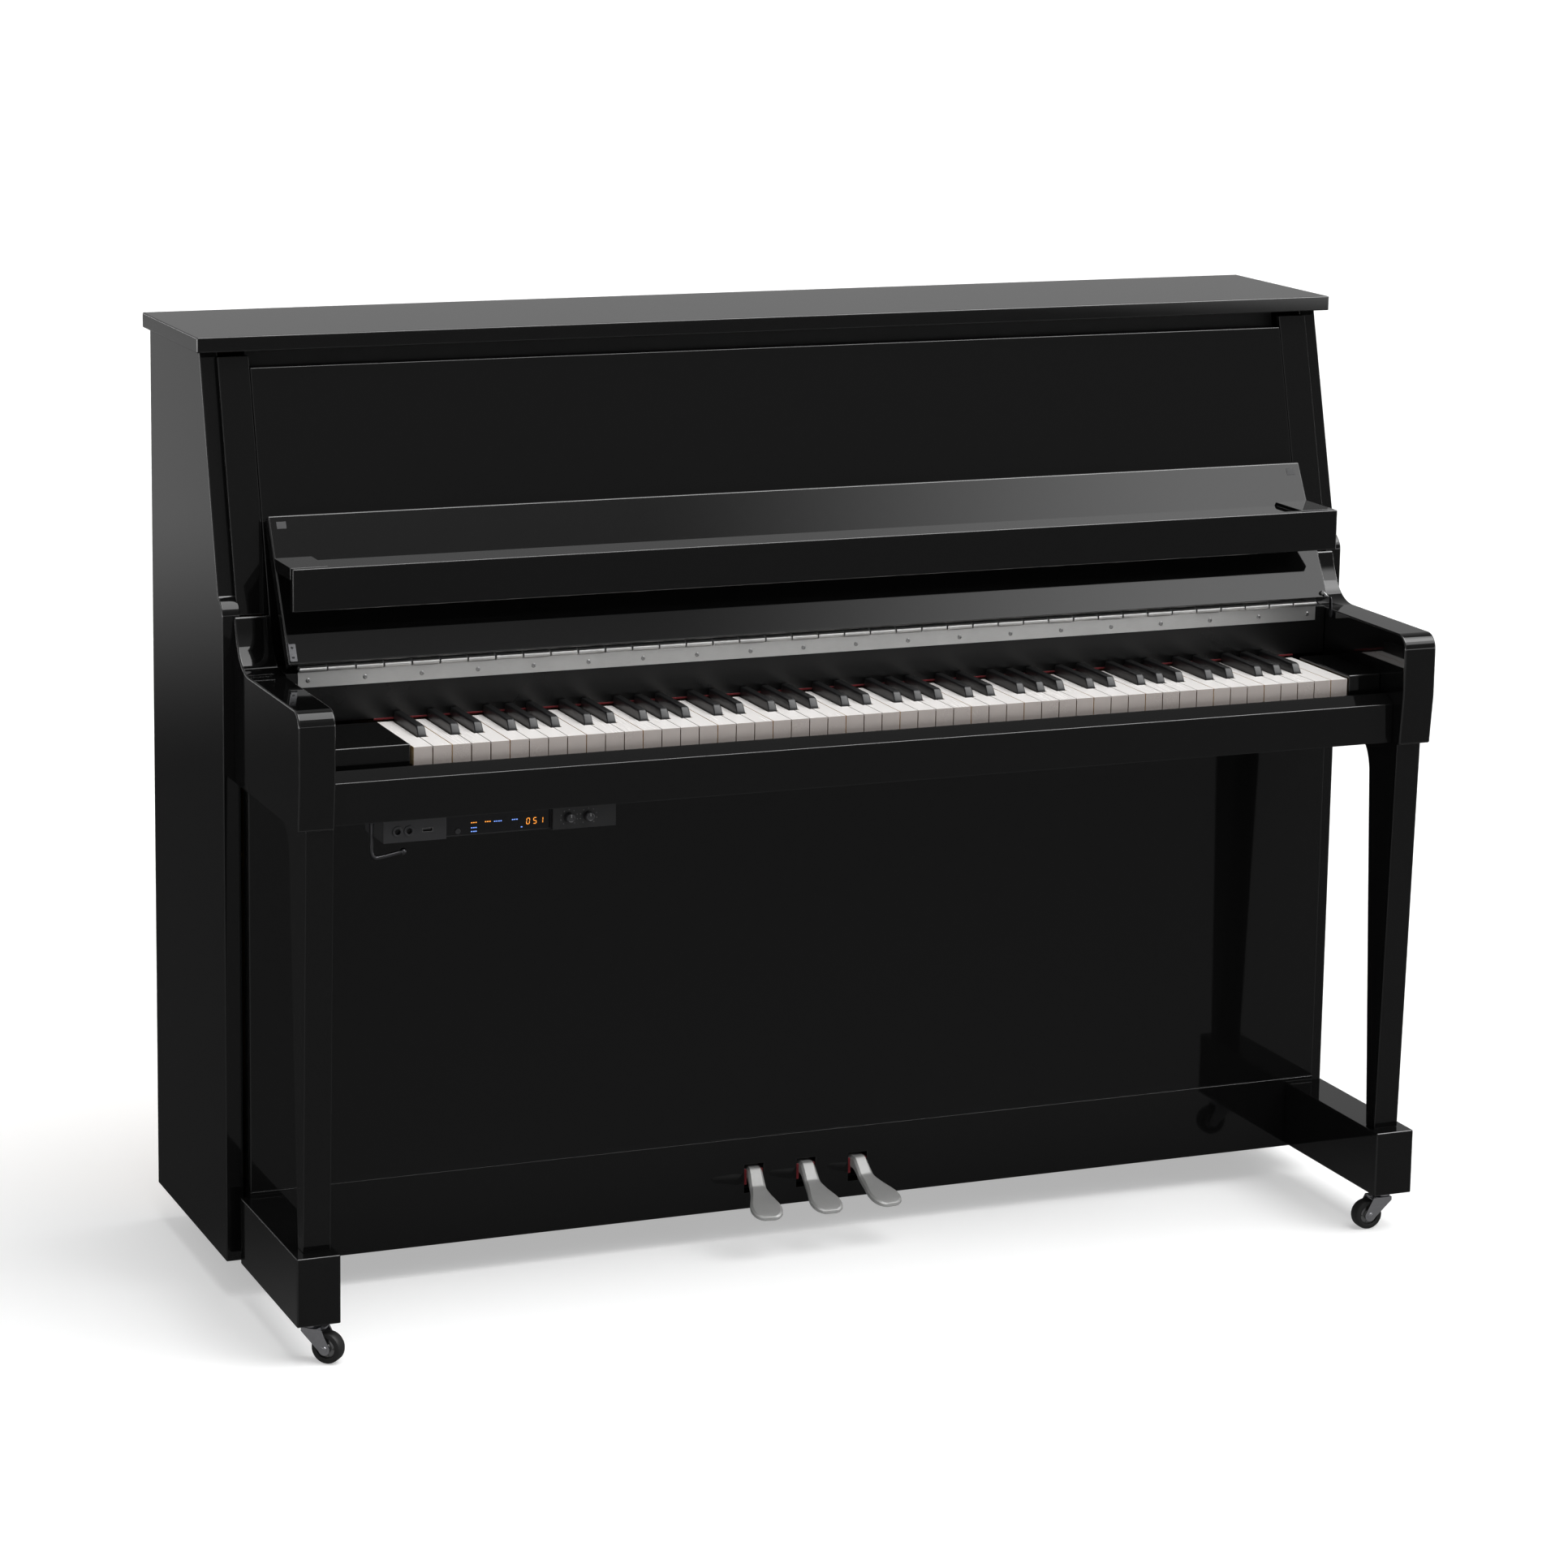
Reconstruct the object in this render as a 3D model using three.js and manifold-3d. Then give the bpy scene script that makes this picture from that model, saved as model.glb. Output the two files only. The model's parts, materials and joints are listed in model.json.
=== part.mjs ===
// An upright piano in polished black: case, lid, folding fallboard with its music ledge,
// keyboard, pedals, casters, a headphone control unit, and the frame and plate inside.
// Millimetres, +Z up. The origin is on the floor under the middle of the overall box,
// +X towards the treble end and -Y towards the player.
import * as THREE from 'three';
import { mergeVertices } from 'three/addons/utils/BufferGeometryUtils.js';
import Module from 'manifold-3d';

const wasm = await Module();
wasm.setup();

// ---- driving dimensions ----
const gap = 0.3;              // between pieces that touch
const height = 1160;          // floor to the top of the lid
const lidOverhang = 8.9;      // past the case sides
const lidThickness = 18.4;
const lidNose = 23.3;         // past the top of the case front
const lidTail = 2;            // past the case back
const lidSeat = 0.6;          // between the lid and the case sides

const sideOuter = 748.6;      // outer face of the case sides
const sideThickness = 22;
const sideBottomZ = 47;
const caseFrontY = -28;       // upright front edge of the case sides
const caseBackY = 293;
const kneeZ = 838;            // where the upright front edge starts to curve back
const slopeFootZ = 859;
const slopeFootY = -10;
const slopeRun = 0.267;       // depth lost per unit of height on the sloping front

const armInset = 13.6;        // from the outer face of the case side
const armThickness = 44;
const armFrontY = -295;
const armBottomZ = 638;
const armTopZ = 777.5;
const armCrestZ = 838;        // top of the scroll behind the arm

const legInset = 11;          // from the outer face of the arm
const legThickness = 33;
const toeOutset = 2;          // past the outer face of the arm
const toeWidth = 52.7;
const toeFrontY = -287;
const toeBottomZ = 50.4;
const toeTopZ = 133.3;

const panelClear = 0.5;       // from each arm to what stands between the arms
const panelProud = 9;         // sloping front, ahead of the side edges
const panelThickness = 18;
const upperPanelDrop = 20.6;  // top of the panel below the lid
const stileDrop = 6.6;
const stileInset = 19.3;      // from the outer face of the case side

const lowerClear = 2.6;       // from the inner face of each case side
const lowerFrontY = -49;
const lowerThickness = 20;
const railBottomZ = 45.5;
const railTopZ = 138;
const bottomBoardThickness = 20;

const keybedThickness = 30;
const keybedBackY = 146;
const keyslipFrontY = -272;
const keyslipBackY = -250;
const keyslipFaceZ = 687;
const keyslipTopZ = 697;

const keyboardMiddle = 31.2;  // the keyboard sits this far to the treble side
const whitePitch = 23.558;
const whiteCount = 52;
const whiteTopZ = 715.4;
const whiteDepth = 22;        // height of a white key's front
const keyFrontY = -238;
const keyGap = 0.96;
const blackFrontY = -189;
const blackWidth = 11.5;
const blackRise = 12;
const blackClear = 1.1;       // between a black key and its white neighbours
const keyBalanceY = -8;
const keyTailY = 110;
const keyTailDrop = 3.4;
const looseKeys = 8;          // keys at the bass end that move one by one
const blockTopZ = 719.5;

const nameboardThickness = 18;
const nameboardBottomZ = 718.5;
const nameboardTopZ = 779.5;
const hingeInset = 14.5;      // from each end of the nameboard
const hingeLeaf = 1.3;
const hingeRadius = 3;
const hingePin = 1.2;
const hingeLeafBottomZ = 762;

const fallClear = 2;          // from each arm to the fallboard
const fallLean = 28.6;        // degrees back from upright when open
const fallRest = 4.3;         // from the open fallboard's top edge to the upper panel
const fallAxisZ = 784;
const fallFace = 10;          // playing-side face, ahead of the hinge axis
const fallThickness = 17;
const fallLength = 188;
const shelfTopZ = 907.7;
const shelfThickness = 10;
const shelfDrop = 4.5;         // the shelf lies this far below its lip and end blocks
const shelfEnd = 46;
const lipFrontY = -119;
const lipHeight = 50.7;
const lipThickness = 10;
const shelfGap = 0.4;

const casterTrail = 21;
const casterWheelRadius = 19;
const casterWheelWidth = 17;
const casterPlate = 2.5;
const casterAxle = 3;
const casterInset = 28;       // stem from the front of the toe block
const rearCasterInset = 86.6; // from the inner face of each case side
const rearCasterY = 240;

const pedalSpacing = 71;
const pedalSplay = 8;         // degrees that the outer pedals turn outwards
const pedalWidth = 17;
const pedalTipWidth = 40;
const pedalTipY = -134;
const pedalAxisY = 40;
const pedalAxisZ = 88;
const pedalPin = 4;

const unitInset = 65.5;       // from the end of the keybed
const unitWidth = 284;
const screenInset = 76;
const screenWidth = 130;
const unitFrontY = -262;
const unitDepth = 70;
const unitHeight = 27.5;
const screenSetBack = 8;
const knobRadius = 6;
const knobLength = 8;
const buttonRadius = 3.5;
const buttonTravel = 1.5;
const hangerInset = 11;       // from the end of the control unit
const hangerY = -252;
const hangerDrop = 46;
const hangerReach = 38;
const hangerRadius = 2.5;

const postWidth = 62;
const frameDepth = 74;
const frameFrontY = 215;
const frameBackY = 289;
const soundboardThickness = 9;
const plateBackY = 170;
const plateThickness = 12;
const lidHingeRadius = 2.4;
const lidHingeInset = 14.6;   // from the inner face of each case side
const lidHingeBehind = 3;     // from the back frame to the hinge axis
const lidHingeBelow = 3.6;    // from the lid to the hinge axis
const pinBlockHeight = 120;
const pinBlockDrop = 57.4;    // below the top of the back frame

// ---- finishes ----
function finish(colour, roughness, metalness) {
  return { colour, roughness, metalness };
}
const ebony = finish(0x0b0b0c, 0.06, 0);
const satinBlack = finish(0x161617, 0.4, 0);
const ivory = finish(0xeceae4, 0.25, 0);
const satinSteel = finish(0xb9bbbc, 0.35, 1);
const chrome = finish(0xd5d7d9, 0.1, 1);
const wheelBlack = finish(0x1b1b1c, 0.5, 0);
const spruce = finish(0xcaa46c, 0.5, 0);
const beech = finish(0xa9825a, 0.6, 0);
const bronze = finish(0xa8853f, 0.4, 0.8);

// ---- shape helpers ----
const group = new THREE.Group();

function addPiece(name, geometry, look) {
  const material = new THREE.MeshStandardMaterial({
    color: look.colour,
    roughness: look.roughness,
    metalness: look.metalness,
  });
  const mesh = new THREE.Mesh(geometry, material);
  mesh.name = name;
  group.add(mesh);
  return mesh;
}

function toSolid(geometry) {
  const bare = geometry.clone();
  bare.deleteAttribute('normal');
  bare.deleteAttribute('uv');
  const welded = mergeVertices(bare, 1e-4);
  return new wasm.Manifold(new wasm.Mesh({
    numProp: 3,
    vertProperties: new Float32Array(welded.attributes.position.array),
    triVerts: new Uint32Array(welded.index.array),
  }));
}

function toGeometry(solid) {
  const mesh = solid.getMesh();
  const geometry = new THREE.BufferGeometry();
  geometry.setAttribute('position', new THREE.BufferAttribute(mesh.vertProperties, 3));
  geometry.setIndex(new THREE.BufferAttribute(mesh.triVerts, 1));
  geometry.computeVertexNormals();
  return geometry;
}

function join(...geometries) {
  return toGeometry(geometries.map(toSolid).reduce((whole, next) => whole.add(next)));
}

function cut(body, ...tools) {
  return toGeometry(tools.map(toSolid).reduce((whole, next) => whole.subtract(next), toSolid(body)));
}

// A box between two opposite corners.
function box(x0, x1, y0, y1, z0, z1) {
  const geometry = new THREE.BoxGeometry(x1 - x0, y1 - y0, z1 - z0);
  return geometry.translate((x0 + x1) / 2, (y0 + y1) / 2, (z0 + z1) / 2);
}

// A side-view outline of [y, z] points, run along X from x0 to x1.
function alongX(outline, x0, x1) {
  const shape = new THREE.Shape(outline.map(([y, z]) => new THREE.Vector2(y, z)));
  const geometry = new THREE.ExtrudeGeometry(shape, { depth: x1 - x0, bevelEnabled: false });
  const axes = new THREE.Matrix4().makeBasis(
    new THREE.Vector3(0, 1, 0), new THREE.Vector3(0, 0, 1), new THREE.Vector3(1, 0, 0));
  return geometry.applyMatrix4(axes).translate(x0, 0, 0);
}

// A plan-view outline of [x, y] points, raised from z0 to z1.
function upZ(outline, z0, z1) {
  const shape = new THREE.Shape(outline.map(([x, y]) => new THREE.Vector2(x, y)));
  const geometry = new THREE.ExtrudeGeometry(shape, { depth: z1 - z0, bevelEnabled: false });
  return geometry.translate(0, 0, z0);
}

// A front-view outline of [x, z] points, run along Y from y0 to y1.
function alongY(outline, y0, y1) {
  const shape = new THREE.Shape(outline.map(([x, z]) => new THREE.Vector2(x, z)));
  const geometry = new THREE.ExtrudeGeometry(shape, { depth: y1 - y0, bevelEnabled: false });
  return geometry.rotateX(Math.PI / 2).translate(0, y1, 0);
}

// A round bar along X, centred on (y, z).
function barX(radius, x0, x1, y, z, sides = 10) {
  const geometry = new THREE.CylinderGeometry(radius, radius, x1 - x0, sides);
  return geometry.rotateZ(Math.PI / 2).translate((x0 + x1) / 2, y, z);
}

// A round bar along Y, centred on (x, z).
function barY(radius, y0, y1, x, z, sides = 16) {
  const geometry = new THREE.CylinderGeometry(radius, radius, y1 - y0, sides);
  return geometry.translate(x, (y0 + y1) / 2, z);
}

// A round bar along Z, centred on (x, y).
function barZ(radius, z0, z1, x, y, sides = 20) {
  const geometry = new THREE.CylinderGeometry(radius, radius, z1 - z0, sides);
  return geometry.rotateX(Math.PI / 2).translate(x, y, (z0 + z1) / 2);
}

// Points of an arc from angle a0 to a1 in degrees, in the plane of an outline.
function arc(cx, cy, radius, a0, a1, steps) {
  const points = [];
  for (let i = 0; i <= steps; i += 1) {
    const a = THREE.MathUtils.degToRad(a0 + (a1 - a0) * i / steps);
    points.push([cx + radius * Math.cos(a), cy + radius * Math.sin(a)]);
  }
  return points;
}

// Points of a smooth curve from a to b that leaves and arrives towards the corner c.
function bend(a, c, b, steps) {
  const curve = new THREE.QuadraticBezierCurve(
    new THREE.Vector2(...a), new THREE.Vector2(...c), new THREE.Vector2(...b));
  return curve.getPoints(steps).map((p) => [p.x, p.y]);
}

// ---- case ----
const lidBottomZ = height - lidThickness;
const sideTopZ = lidBottomZ - lidSeat;
const sideInner = sideOuter - sideThickness;
const armOuter = sideOuter - armInset;
const armInner = armOuter - armThickness;
const panelHalf = armInner - panelClear;

// Depth of the sloping front edge of the case sides at a height.
function slopeY(z) {
  return slopeFootY + (z - slopeFootZ) * slopeRun;
}

const sideOutline = [
  [caseBackY, sideBottomZ],
  [caseBackY, sideTopZ],
  [slopeY(sideTopZ), sideTopZ],
  ...bend([slopeFootY, slopeFootZ], [caseFrontY, slopeFootZ - 8], [caseFrontY, kneeZ], 4),
  [caseFrontY, sideBottomZ],
];
addPiece('side_panel_left', alongX(sideOutline, -sideOuter, -sideInner), ebony);
addPiece('side_panel_right', alongX(sideOutline, sideInner, sideOuter), ebony);

const bottomBoardTopZ = sideBottomZ + bottomBoardThickness;
const railBackY = lowerFrontY + lowerThickness;
addPiece('bottom_board',
  box(-sideInner + gap, sideInner - gap, railBackY + gap, caseBackY - 1, sideBottomZ, bottomBoardTopZ),
  satinBlack);

// The sloping front is three boards: a panel between two glued stiles.
function slopingBoard(x0, x1, z0, z1, thickness) {
  return alongX([
    [slopeY(z0) - panelProud, z0],
    [slopeY(z0) - panelProud + thickness, z0],
    [slopeY(z1) - panelProud + thickness, z1],
    [slopeY(z1) - panelProud, z1],
  ], x0, x1);
}
const stileInner = panelHalf + 2 * gap;
const stileOuter = sideOuter - stileInset;
const stileTopZ = lidBottomZ - stileDrop;
const stileBottomZ = slopeFootZ + gap;
addPiece('upper_panel',
  slopingBoard(-panelHalf, panelHalf, nameboardTopZ + gap, lidBottomZ - upperPanelDrop,
    panelThickness), ebony);
addPiece('stile_left',
  slopingBoard(-stileOuter, -stileInner, stileBottomZ, stileTopZ, panelProud - gap), ebony);
addPiece('stile_right',
  slopingBoard(stileInner, stileOuter, stileBottomZ, stileTopZ, panelProud - gap), ebony);

const lowerHalf = sideInner - lowerClear;
addPiece('lower_panel',
  box(-lowerHalf, lowerHalf, lowerFrontY, railBackY, railTopZ, armBottomZ - gap), ebony);

// ---- lid and its continuous hinge ----
const lidHalf = sideOuter + lidOverhang;
addPiece('top_lid',
  box(-lidHalf, lidHalf, slopeY(sideTopZ) - lidNose, caseBackY + lidTail, lidBottomZ, height), ebony);

// Ends of every second barrel of a hinge that runs from -half to half.
function barrels(half, count, odd) {
  const ends = [];
  for (let i = odd; i < count; i += 2) {
    ends.push([-half + 2 * half * i / count + gap, -half + 2 * half * (i + 1) / count - gap]);
  }
  return ends;
}

// Two leaves of a hinge along X: the first carries the pin and the second turns on it.
function hingeLeaves(plateA, plateB, half, count, radius, pin, y, z) {
  const own = barrels(half, count, 0);
  const other = barrels(half, count, 1);
  const clear = radius + gap;
  const roomA = other.map(([x0, x1]) => barX(clear, x0 - 2 * gap, x1 + 2 * gap, y, z));
  const roomB = own.map(([x0, x1]) => barX(clear, x0 - 2 * gap, x1 + 2 * gap, y, z));
  const leafA = join(cut(plateA, ...roomA), barX(pin, -half + gap, half - gap, y, z, 8),
    ...own.map(([x0, x1]) => barX(radius, x0, x1, y, z)));
  const sleeve = join(cut(plateB, ...roomB), ...other.map(([x0, x1]) => barX(radius, x0, x1, y, z)));
  const leafB = cut(sleeve, barX(pin + gap, -half - 1, half + 1, y, z, 8));
  return [leafA, leafB];
}

const lidPlate = lidBottomZ - gap;
const lidHingeAxisY = frameBackY + lidHingeBehind;
const lidHingeAxisZ = lidBottomZ - lidHingeBelow;
const lidHingeHalf = sideInner - lidHingeInset;
const [lidHingeCase, lidHingeLid] = hingeLeaves(
  box(-lidHingeHalf, lidHingeHalf, frameBackY + gap, frameBackY + gap + hingeLeaf,
    lidHingeAxisZ - 26, lidHingeAxisZ),
  box(-lidHingeHalf, lidHingeHalf, lidHingeAxisY - 30, lidHingeAxisY, lidPlate - hingeLeaf, lidPlate),
  lidHingeHalf, 11, lidHingeRadius, 1, lidHingeAxisY, lidHingeAxisZ);
addPiece('lid_hinge_case_leaf', lidHingeCase, satinSteel);
addPiece('lid_hinge_lid_leaf', lidHingeLid, satinSteel);

// ---- arms, legs and toe blocks ----
const armBackY = caseFrontY - gap;
const armNose = 19;
const armOutline = [
  [armBackY, armBottomZ],
  [armBackY, armCrestZ],
  ...bend([armBackY - 4, armCrestZ], [armBackY - 18, armTopZ], [armBackY - 62, armTopZ], 8),
  ...arc(armFrontY + armNose, armTopZ - armNose, armNose, 90, 180, 5),
  [armFrontY, armBottomZ + 62],
  [armFrontY + 6, armBottomZ],
];
addPiece('arm_left', alongX(armOutline, -armOuter, -armInner), ebony);
addPiece('arm_right', alongX(armOutline, armInner, armOuter), ebony);

const legOuter = armOuter - legInset;
const legTopZ = armBottomZ - gap;
const legFootZ = toeTopZ + gap;
const legFrontY = armFrontY + 10;
const legFootFrontY = toeFrontY + 19;
const legOutline = [
  [legFrontY, legTopZ],
  [legFootFrontY, legFootZ],
  [legFootFrontY + 21, legFootZ],
  [legFrontY + 57, legTopZ - 198],
  ...bend([legFrontY + 66, legTopZ - 48], [legFrontY + 69, legTopZ - 12], [legFrontY + 103, legTopZ], 5),
];
addPiece('leg_left', alongX(legOutline, -legOuter, -legOuter + legThickness), ebony);
addPiece('leg_right', alongX(legOutline, legOuter - legThickness, legOuter), ebony);

const toeOuter = armOuter + toeOutset;
const toeInner = toeOuter - toeWidth;
const toeBackY = lowerFrontY - gap;
addPiece('toe_block_left',
  box(-toeOuter, -toeInner, toeFrontY, toeBackY, toeBottomZ, toeTopZ), ebony);
addPiece('toe_block_right',
  box(toeInner, toeOuter, toeFrontY, toeBackY, toeBottomZ, toeTopZ), ebony);

// The open fallboard leans until its top back edge meets the upper panel, which sets how far
// back its hinge and the nameboard stand.
const lean = THREE.MathUtils.degToRad(fallLean);
const fallBackN = fallFace - fallThickness;
const fallTopZ = fallAxisZ + fallLength * Math.cos(lean) + fallBackN * Math.sin(lean);
const fallAxisY = slopeY(fallTopZ) - panelProud - fallRest
  - fallLength * Math.sin(lean) + fallBackN * Math.cos(lean);
const nameboardFrontY = fallAxisY + hingeRadius + gap;

// ---- keybed and what stands on it ----
const keybedTopZ = armBottomZ + keybedThickness;
const onKeybedZ = keybedTopZ + gap;
addPiece('keybed',
  box(-panelHalf, panelHalf, keyslipBackY + gap, keybedBackY, armBottomZ, keybedTopZ), satinBlack);
addPiece('keyslip', alongX([
  [keyslipFrontY, armBottomZ],
  [keyslipBackY, armBottomZ],
  [keyslipBackY, keyslipTopZ],
  [keyslipBackY - 4, keyslipTopZ],
  [keyslipFrontY, keyslipFaceZ],
], -panelHalf, panelHalf), ebony);

const keyboardLeft = keyboardMiddle - whitePitch * whiteCount / 2;
const keyboardRight = keyboardMiddle + whitePitch * whiteCount / 2;
const blockBackY = nameboardFrontY - 19;
addPiece('key_block_left',
  box(-panelHalf, keyboardLeft - 3.5, keyFrontY, blockBackY, onKeybedZ, blockTopZ), ebony);
addPiece('key_block_right',
  box(keyboardRight + 2, panelHalf, keyFrontY, blockBackY, onKeybedZ, blockTopZ), ebony);

const nameboardBackY = nameboardFrontY + nameboardThickness;
const ledgeBackY = slopeY(nameboardTopZ) - panelProud + panelThickness + 6;
addPiece('nameboard', alongX([
  [nameboardFrontY, nameboardBottomZ],
  [nameboardBackY, nameboardBottomZ],
  [nameboardBackY, nameboardTopZ - nameboardThickness],
  [ledgeBackY, nameboardTopZ - nameboardThickness],
  [ledgeBackY, nameboardTopZ],
  [nameboardFrontY, nameboardTopZ],
], -panelHalf, panelHalf), ebony);

// ---- keys ----
const keyBottomZ = whiteTopZ - whiteDepth;
const keyTailTopZ = whiteTopZ - keyTailDrop;
const blackTopZ = whiteTopZ + blackRise;
const keyCapBackY = nameboardFrontY - 4;
const blackShift = { 'C#': -2.6, 'D#': 2.6, 'F#': -3.4, 'G#': 0, 'A#': 3.4 };

// The keys in order from the bass: a white key holds its number, a black key the white below it.
const noteNames = ['A', 'A#', 'B', 'C', 'C#', 'D', 'D#', 'E', 'F', 'F#', 'G', 'G#'];
const keys = [];
let whiteNumber = -1;
for (let i = 0; i < 88; i += 1) {
  const note = noteNames[i % 12];
  const black = note.endsWith('#');
  if (!black) {
    whiteNumber += 1;
  }
  const octave = Math.floor((i + 9) / 12);
  const middle = keyboardLeft + (whiteNumber + 1) * whitePitch + (blackShift[note] ?? 0);
  const label = note.toLowerCase().replace('#', '_sharp_') + octave;
  keys.push({ name: 'key_' + label, black, number: whiteNumber, middle });
}

// A white key: a wide head, and a body cut back beside each black neighbour.
function whiteKey(index) {
  const { number } = keys[index];
  const left = keyboardLeft + number * whitePitch + keyGap / 2;
  const right = left + whitePitch - keyGap;
  const reach = blackWidth / 2 + blackClear;
  const before = keys[index - 1];
  const after = keys[index + 1];
  const waistLeft = before?.black ? before.middle + reach : left;
  const waistRight = after?.black ? after.middle - reach : right;
  const shoulderY = blackFrontY - blackClear;
  function plan(backY) {
    const outline = [[left, keyFrontY], [right, keyFrontY], [right, shoulderY]];
    if (waistRight < right) {
      outline.push([waistRight, shoulderY]);
    }
    outline.push([waistRight, backY], [waistLeft, backY]);
    if (waistLeft > left) {
      outline.push([waistLeft, shoulderY]);
    }
    outline.push([left, shoulderY]);
    return outline;
  }
  return join(upZ(plan(keyTailY), keyBottomZ, keyTailTopZ),
    upZ(plan(keyCapBackY), keyTailTopZ, whiteTopZ));
}

// A black key: a straight stick with a raised cap that slopes at the front.
const blackTailY = keyTailY - 22;
function blackKey(index) {
  const { middle } = keys[index];
  const half = blackWidth / 2;
  const stick = box(middle - half, middle + half, blackFrontY, blackTailY, keyBottomZ, keyTailTopZ);
  const cap = alongX([
    [blackFrontY, keyTailTopZ - 1],
    [keyCapBackY, keyTailTopZ - 1],
    [keyCapBackY, blackTopZ],
    [blackFrontY + 8, blackTopZ],
    [blackFrontY, whiteTopZ],
  ], middle - half, middle + half);
  return join(stick, cap);
}

for (let i = 0; i < looseKeys; i += 1) {
  addPiece(keys[i].name, keys[i].black ? blackKey(i) : whiteKey(i), keys[i].black ? satinBlack : ivory);
}

// The other keys move as two sets, each joined at its tails by a bar clear of the other set.
const barDepth = 9;
const setIndexes = keys.map((key, i) => i).filter((i) => i >= looseKeys);
const whiteSet = setIndexes.filter((i) => !keys[i].black);
const blackSet = setIndexes.filter((i) => keys[i].black);
const setLeft = keyboardLeft + keys[whiteSet[0]].number * whitePitch + keyGap;
addPiece('white_keys', join(
  box(setLeft, keyboardRight - keyGap, keyTailY - barDepth, keyTailY,
    keyTailTopZ - 5, keyTailTopZ + 5),
  ...whiteSet.map(whiteKey)), ivory);
const hangZ = keyBottomZ - 7;
addPiece('black_keys', join(
  box(keys[blackSet[0]].middle, keys[blackSet.at(-1)].middle, blackTailY - barDepth, blackTailY,
    hangZ - 6, hangZ),
  ...blackSet.map((i) => join(blackKey(i), box(keys[i].middle - 4, keys[i].middle + 4,
    blackTailY - barDepth, blackTailY, hangZ - 5, keyBottomZ + 2)))), satinBlack);

const frameRailZ = keyBottomZ - gap;
const stretchers = [0.01, 0.25, 0.5, 0.75, 0.99].map((share) => {
  const x = THREE.MathUtils.lerp(keyboardLeft + 20, keyboardRight - 20, share);
  return box(x - 20, x + 20, keyFrontY + 13, keyTailY - 11, onKeybedZ, onKeybedZ + 7);
});
addPiece('key_frame', join(
  box(keyboardLeft, keyboardRight, keyFrontY + 13, keyFrontY + 43, onKeybedZ, onKeybedZ + 11),
  box(keyboardLeft, keyboardRight, keyBalanceY - 3, keyBalanceY + 3, onKeybedZ, frameRailZ),
  box(keyboardLeft, keyboardRight, keyTailY - 18, keyTailY - 11, onKeybedZ, frameRailZ),
  ...stretchers), beech);

// ---- fallboard, its hinge and the music ledge ----
// A point u up the open fallboard from its hinge axis and n ahead of the axis, as [y, z].
function onFall(u, n) {
  return [
    fallAxisY + u * Math.sin(lean) - n * Math.cos(lean),
    fallAxisZ + u * Math.cos(lean) + n * Math.sin(lean),
  ];
}
const fallRoot = hingeRadius + 2 * gap;
const fallHalf = armInner - fallClear;
addPiece('fallboard', alongX([
  onFall(fallRoot, fallFace),
  onFall(fallRoot, fallBackN),
  onFall(fallLength, fallBackN),
  onFall(fallLength, fallFace),
], -fallHalf, fallHalf), ebony);

const hingeHalf = panelHalf - hingeInset;
const leafTop = fallRoot - gap;
const [fallHingeCase, fallHingeBoard] = hingeLeaves(
  box(-hingeHalf, hingeHalf, nameboardFrontY - gap - hingeLeaf, nameboardFrontY - gap,
    hingeLeafBottomZ, fallAxisZ),
  alongX([
    onFall(leafTop - hingeLeaf, 0.5),
    onFall(leafTop - hingeLeaf, fallBackN + 0.5),
    onFall(leafTop, fallBackN + 0.5),
    onFall(leafTop, 0.5),
  ], -hingeHalf, hingeHalf),
  hingeHalf, 19, hingeRadius, hingePin, fallAxisY, fallAxisZ);
addPiece('fallboard_hinge_case_leaf', fallHingeCase, satinSteel);
addPiece('fallboard_hinge_board_leaf', fallHingeBoard, satinSteel);

const shelfU = (shelfTopZ - fallAxisZ - (fallFace + shelfGap) * Math.sin(lean)) / Math.cos(lean);
const [shelfAxisY] = onFall(shelfU, fallFace + shelfGap);
const lipBackY = lipFrontY + lipThickness;
const shelfBottomZ = shelfTopZ - shelfDrop - shelfThickness;
function shelfBoard(topZ, x0, x1) {
  const backY = (z) => shelfAxisY - (shelfTopZ - z) * Math.tan(lean);
  return alongX([
    [backY(topZ), topZ],
    [lipBackY + gap, topZ],
    [lipBackY + gap, shelfBottomZ],
    [backY(shelfBottomZ), shelfBottomZ],
  ], x0, x1);
}
addPiece('music_shelf', join(
  shelfBoard(shelfTopZ - shelfDrop, -fallHalf, fallHalf),
  shelfBoard(shelfTopZ, -fallHalf, shelfEnd - fallHalf),
  shelfBoard(shelfTopZ, fallHalf - shelfEnd, fallHalf)), ebony);
addPiece('shelf_lip',
  box(-fallHalf, fallHalf, lipFrontY, lipBackY, shelfTopZ - lipHeight, shelfTopZ), ebony);

// ---- pedals ----
const slotHalf = pedalWidth / 2 + 4.5;
const slotBottomZ = pedalAxisZ - 22;
const slotTopZ = pedalAxisZ + 15;
const pedalXs = [-pedalSpacing, 0, pedalSpacing];
addPiece('bottom_rail', cut(
  box(-lowerHalf, lowerHalf, lowerFrontY, railBackY, railBottomZ, railTopZ - gap),
  ...pedalXs.map((x) => box(x - slotHalf, x + slotHalf, lowerFrontY - 1, railBackY + 1,
    slotBottomZ, slotTopZ))), ebony);

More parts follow.
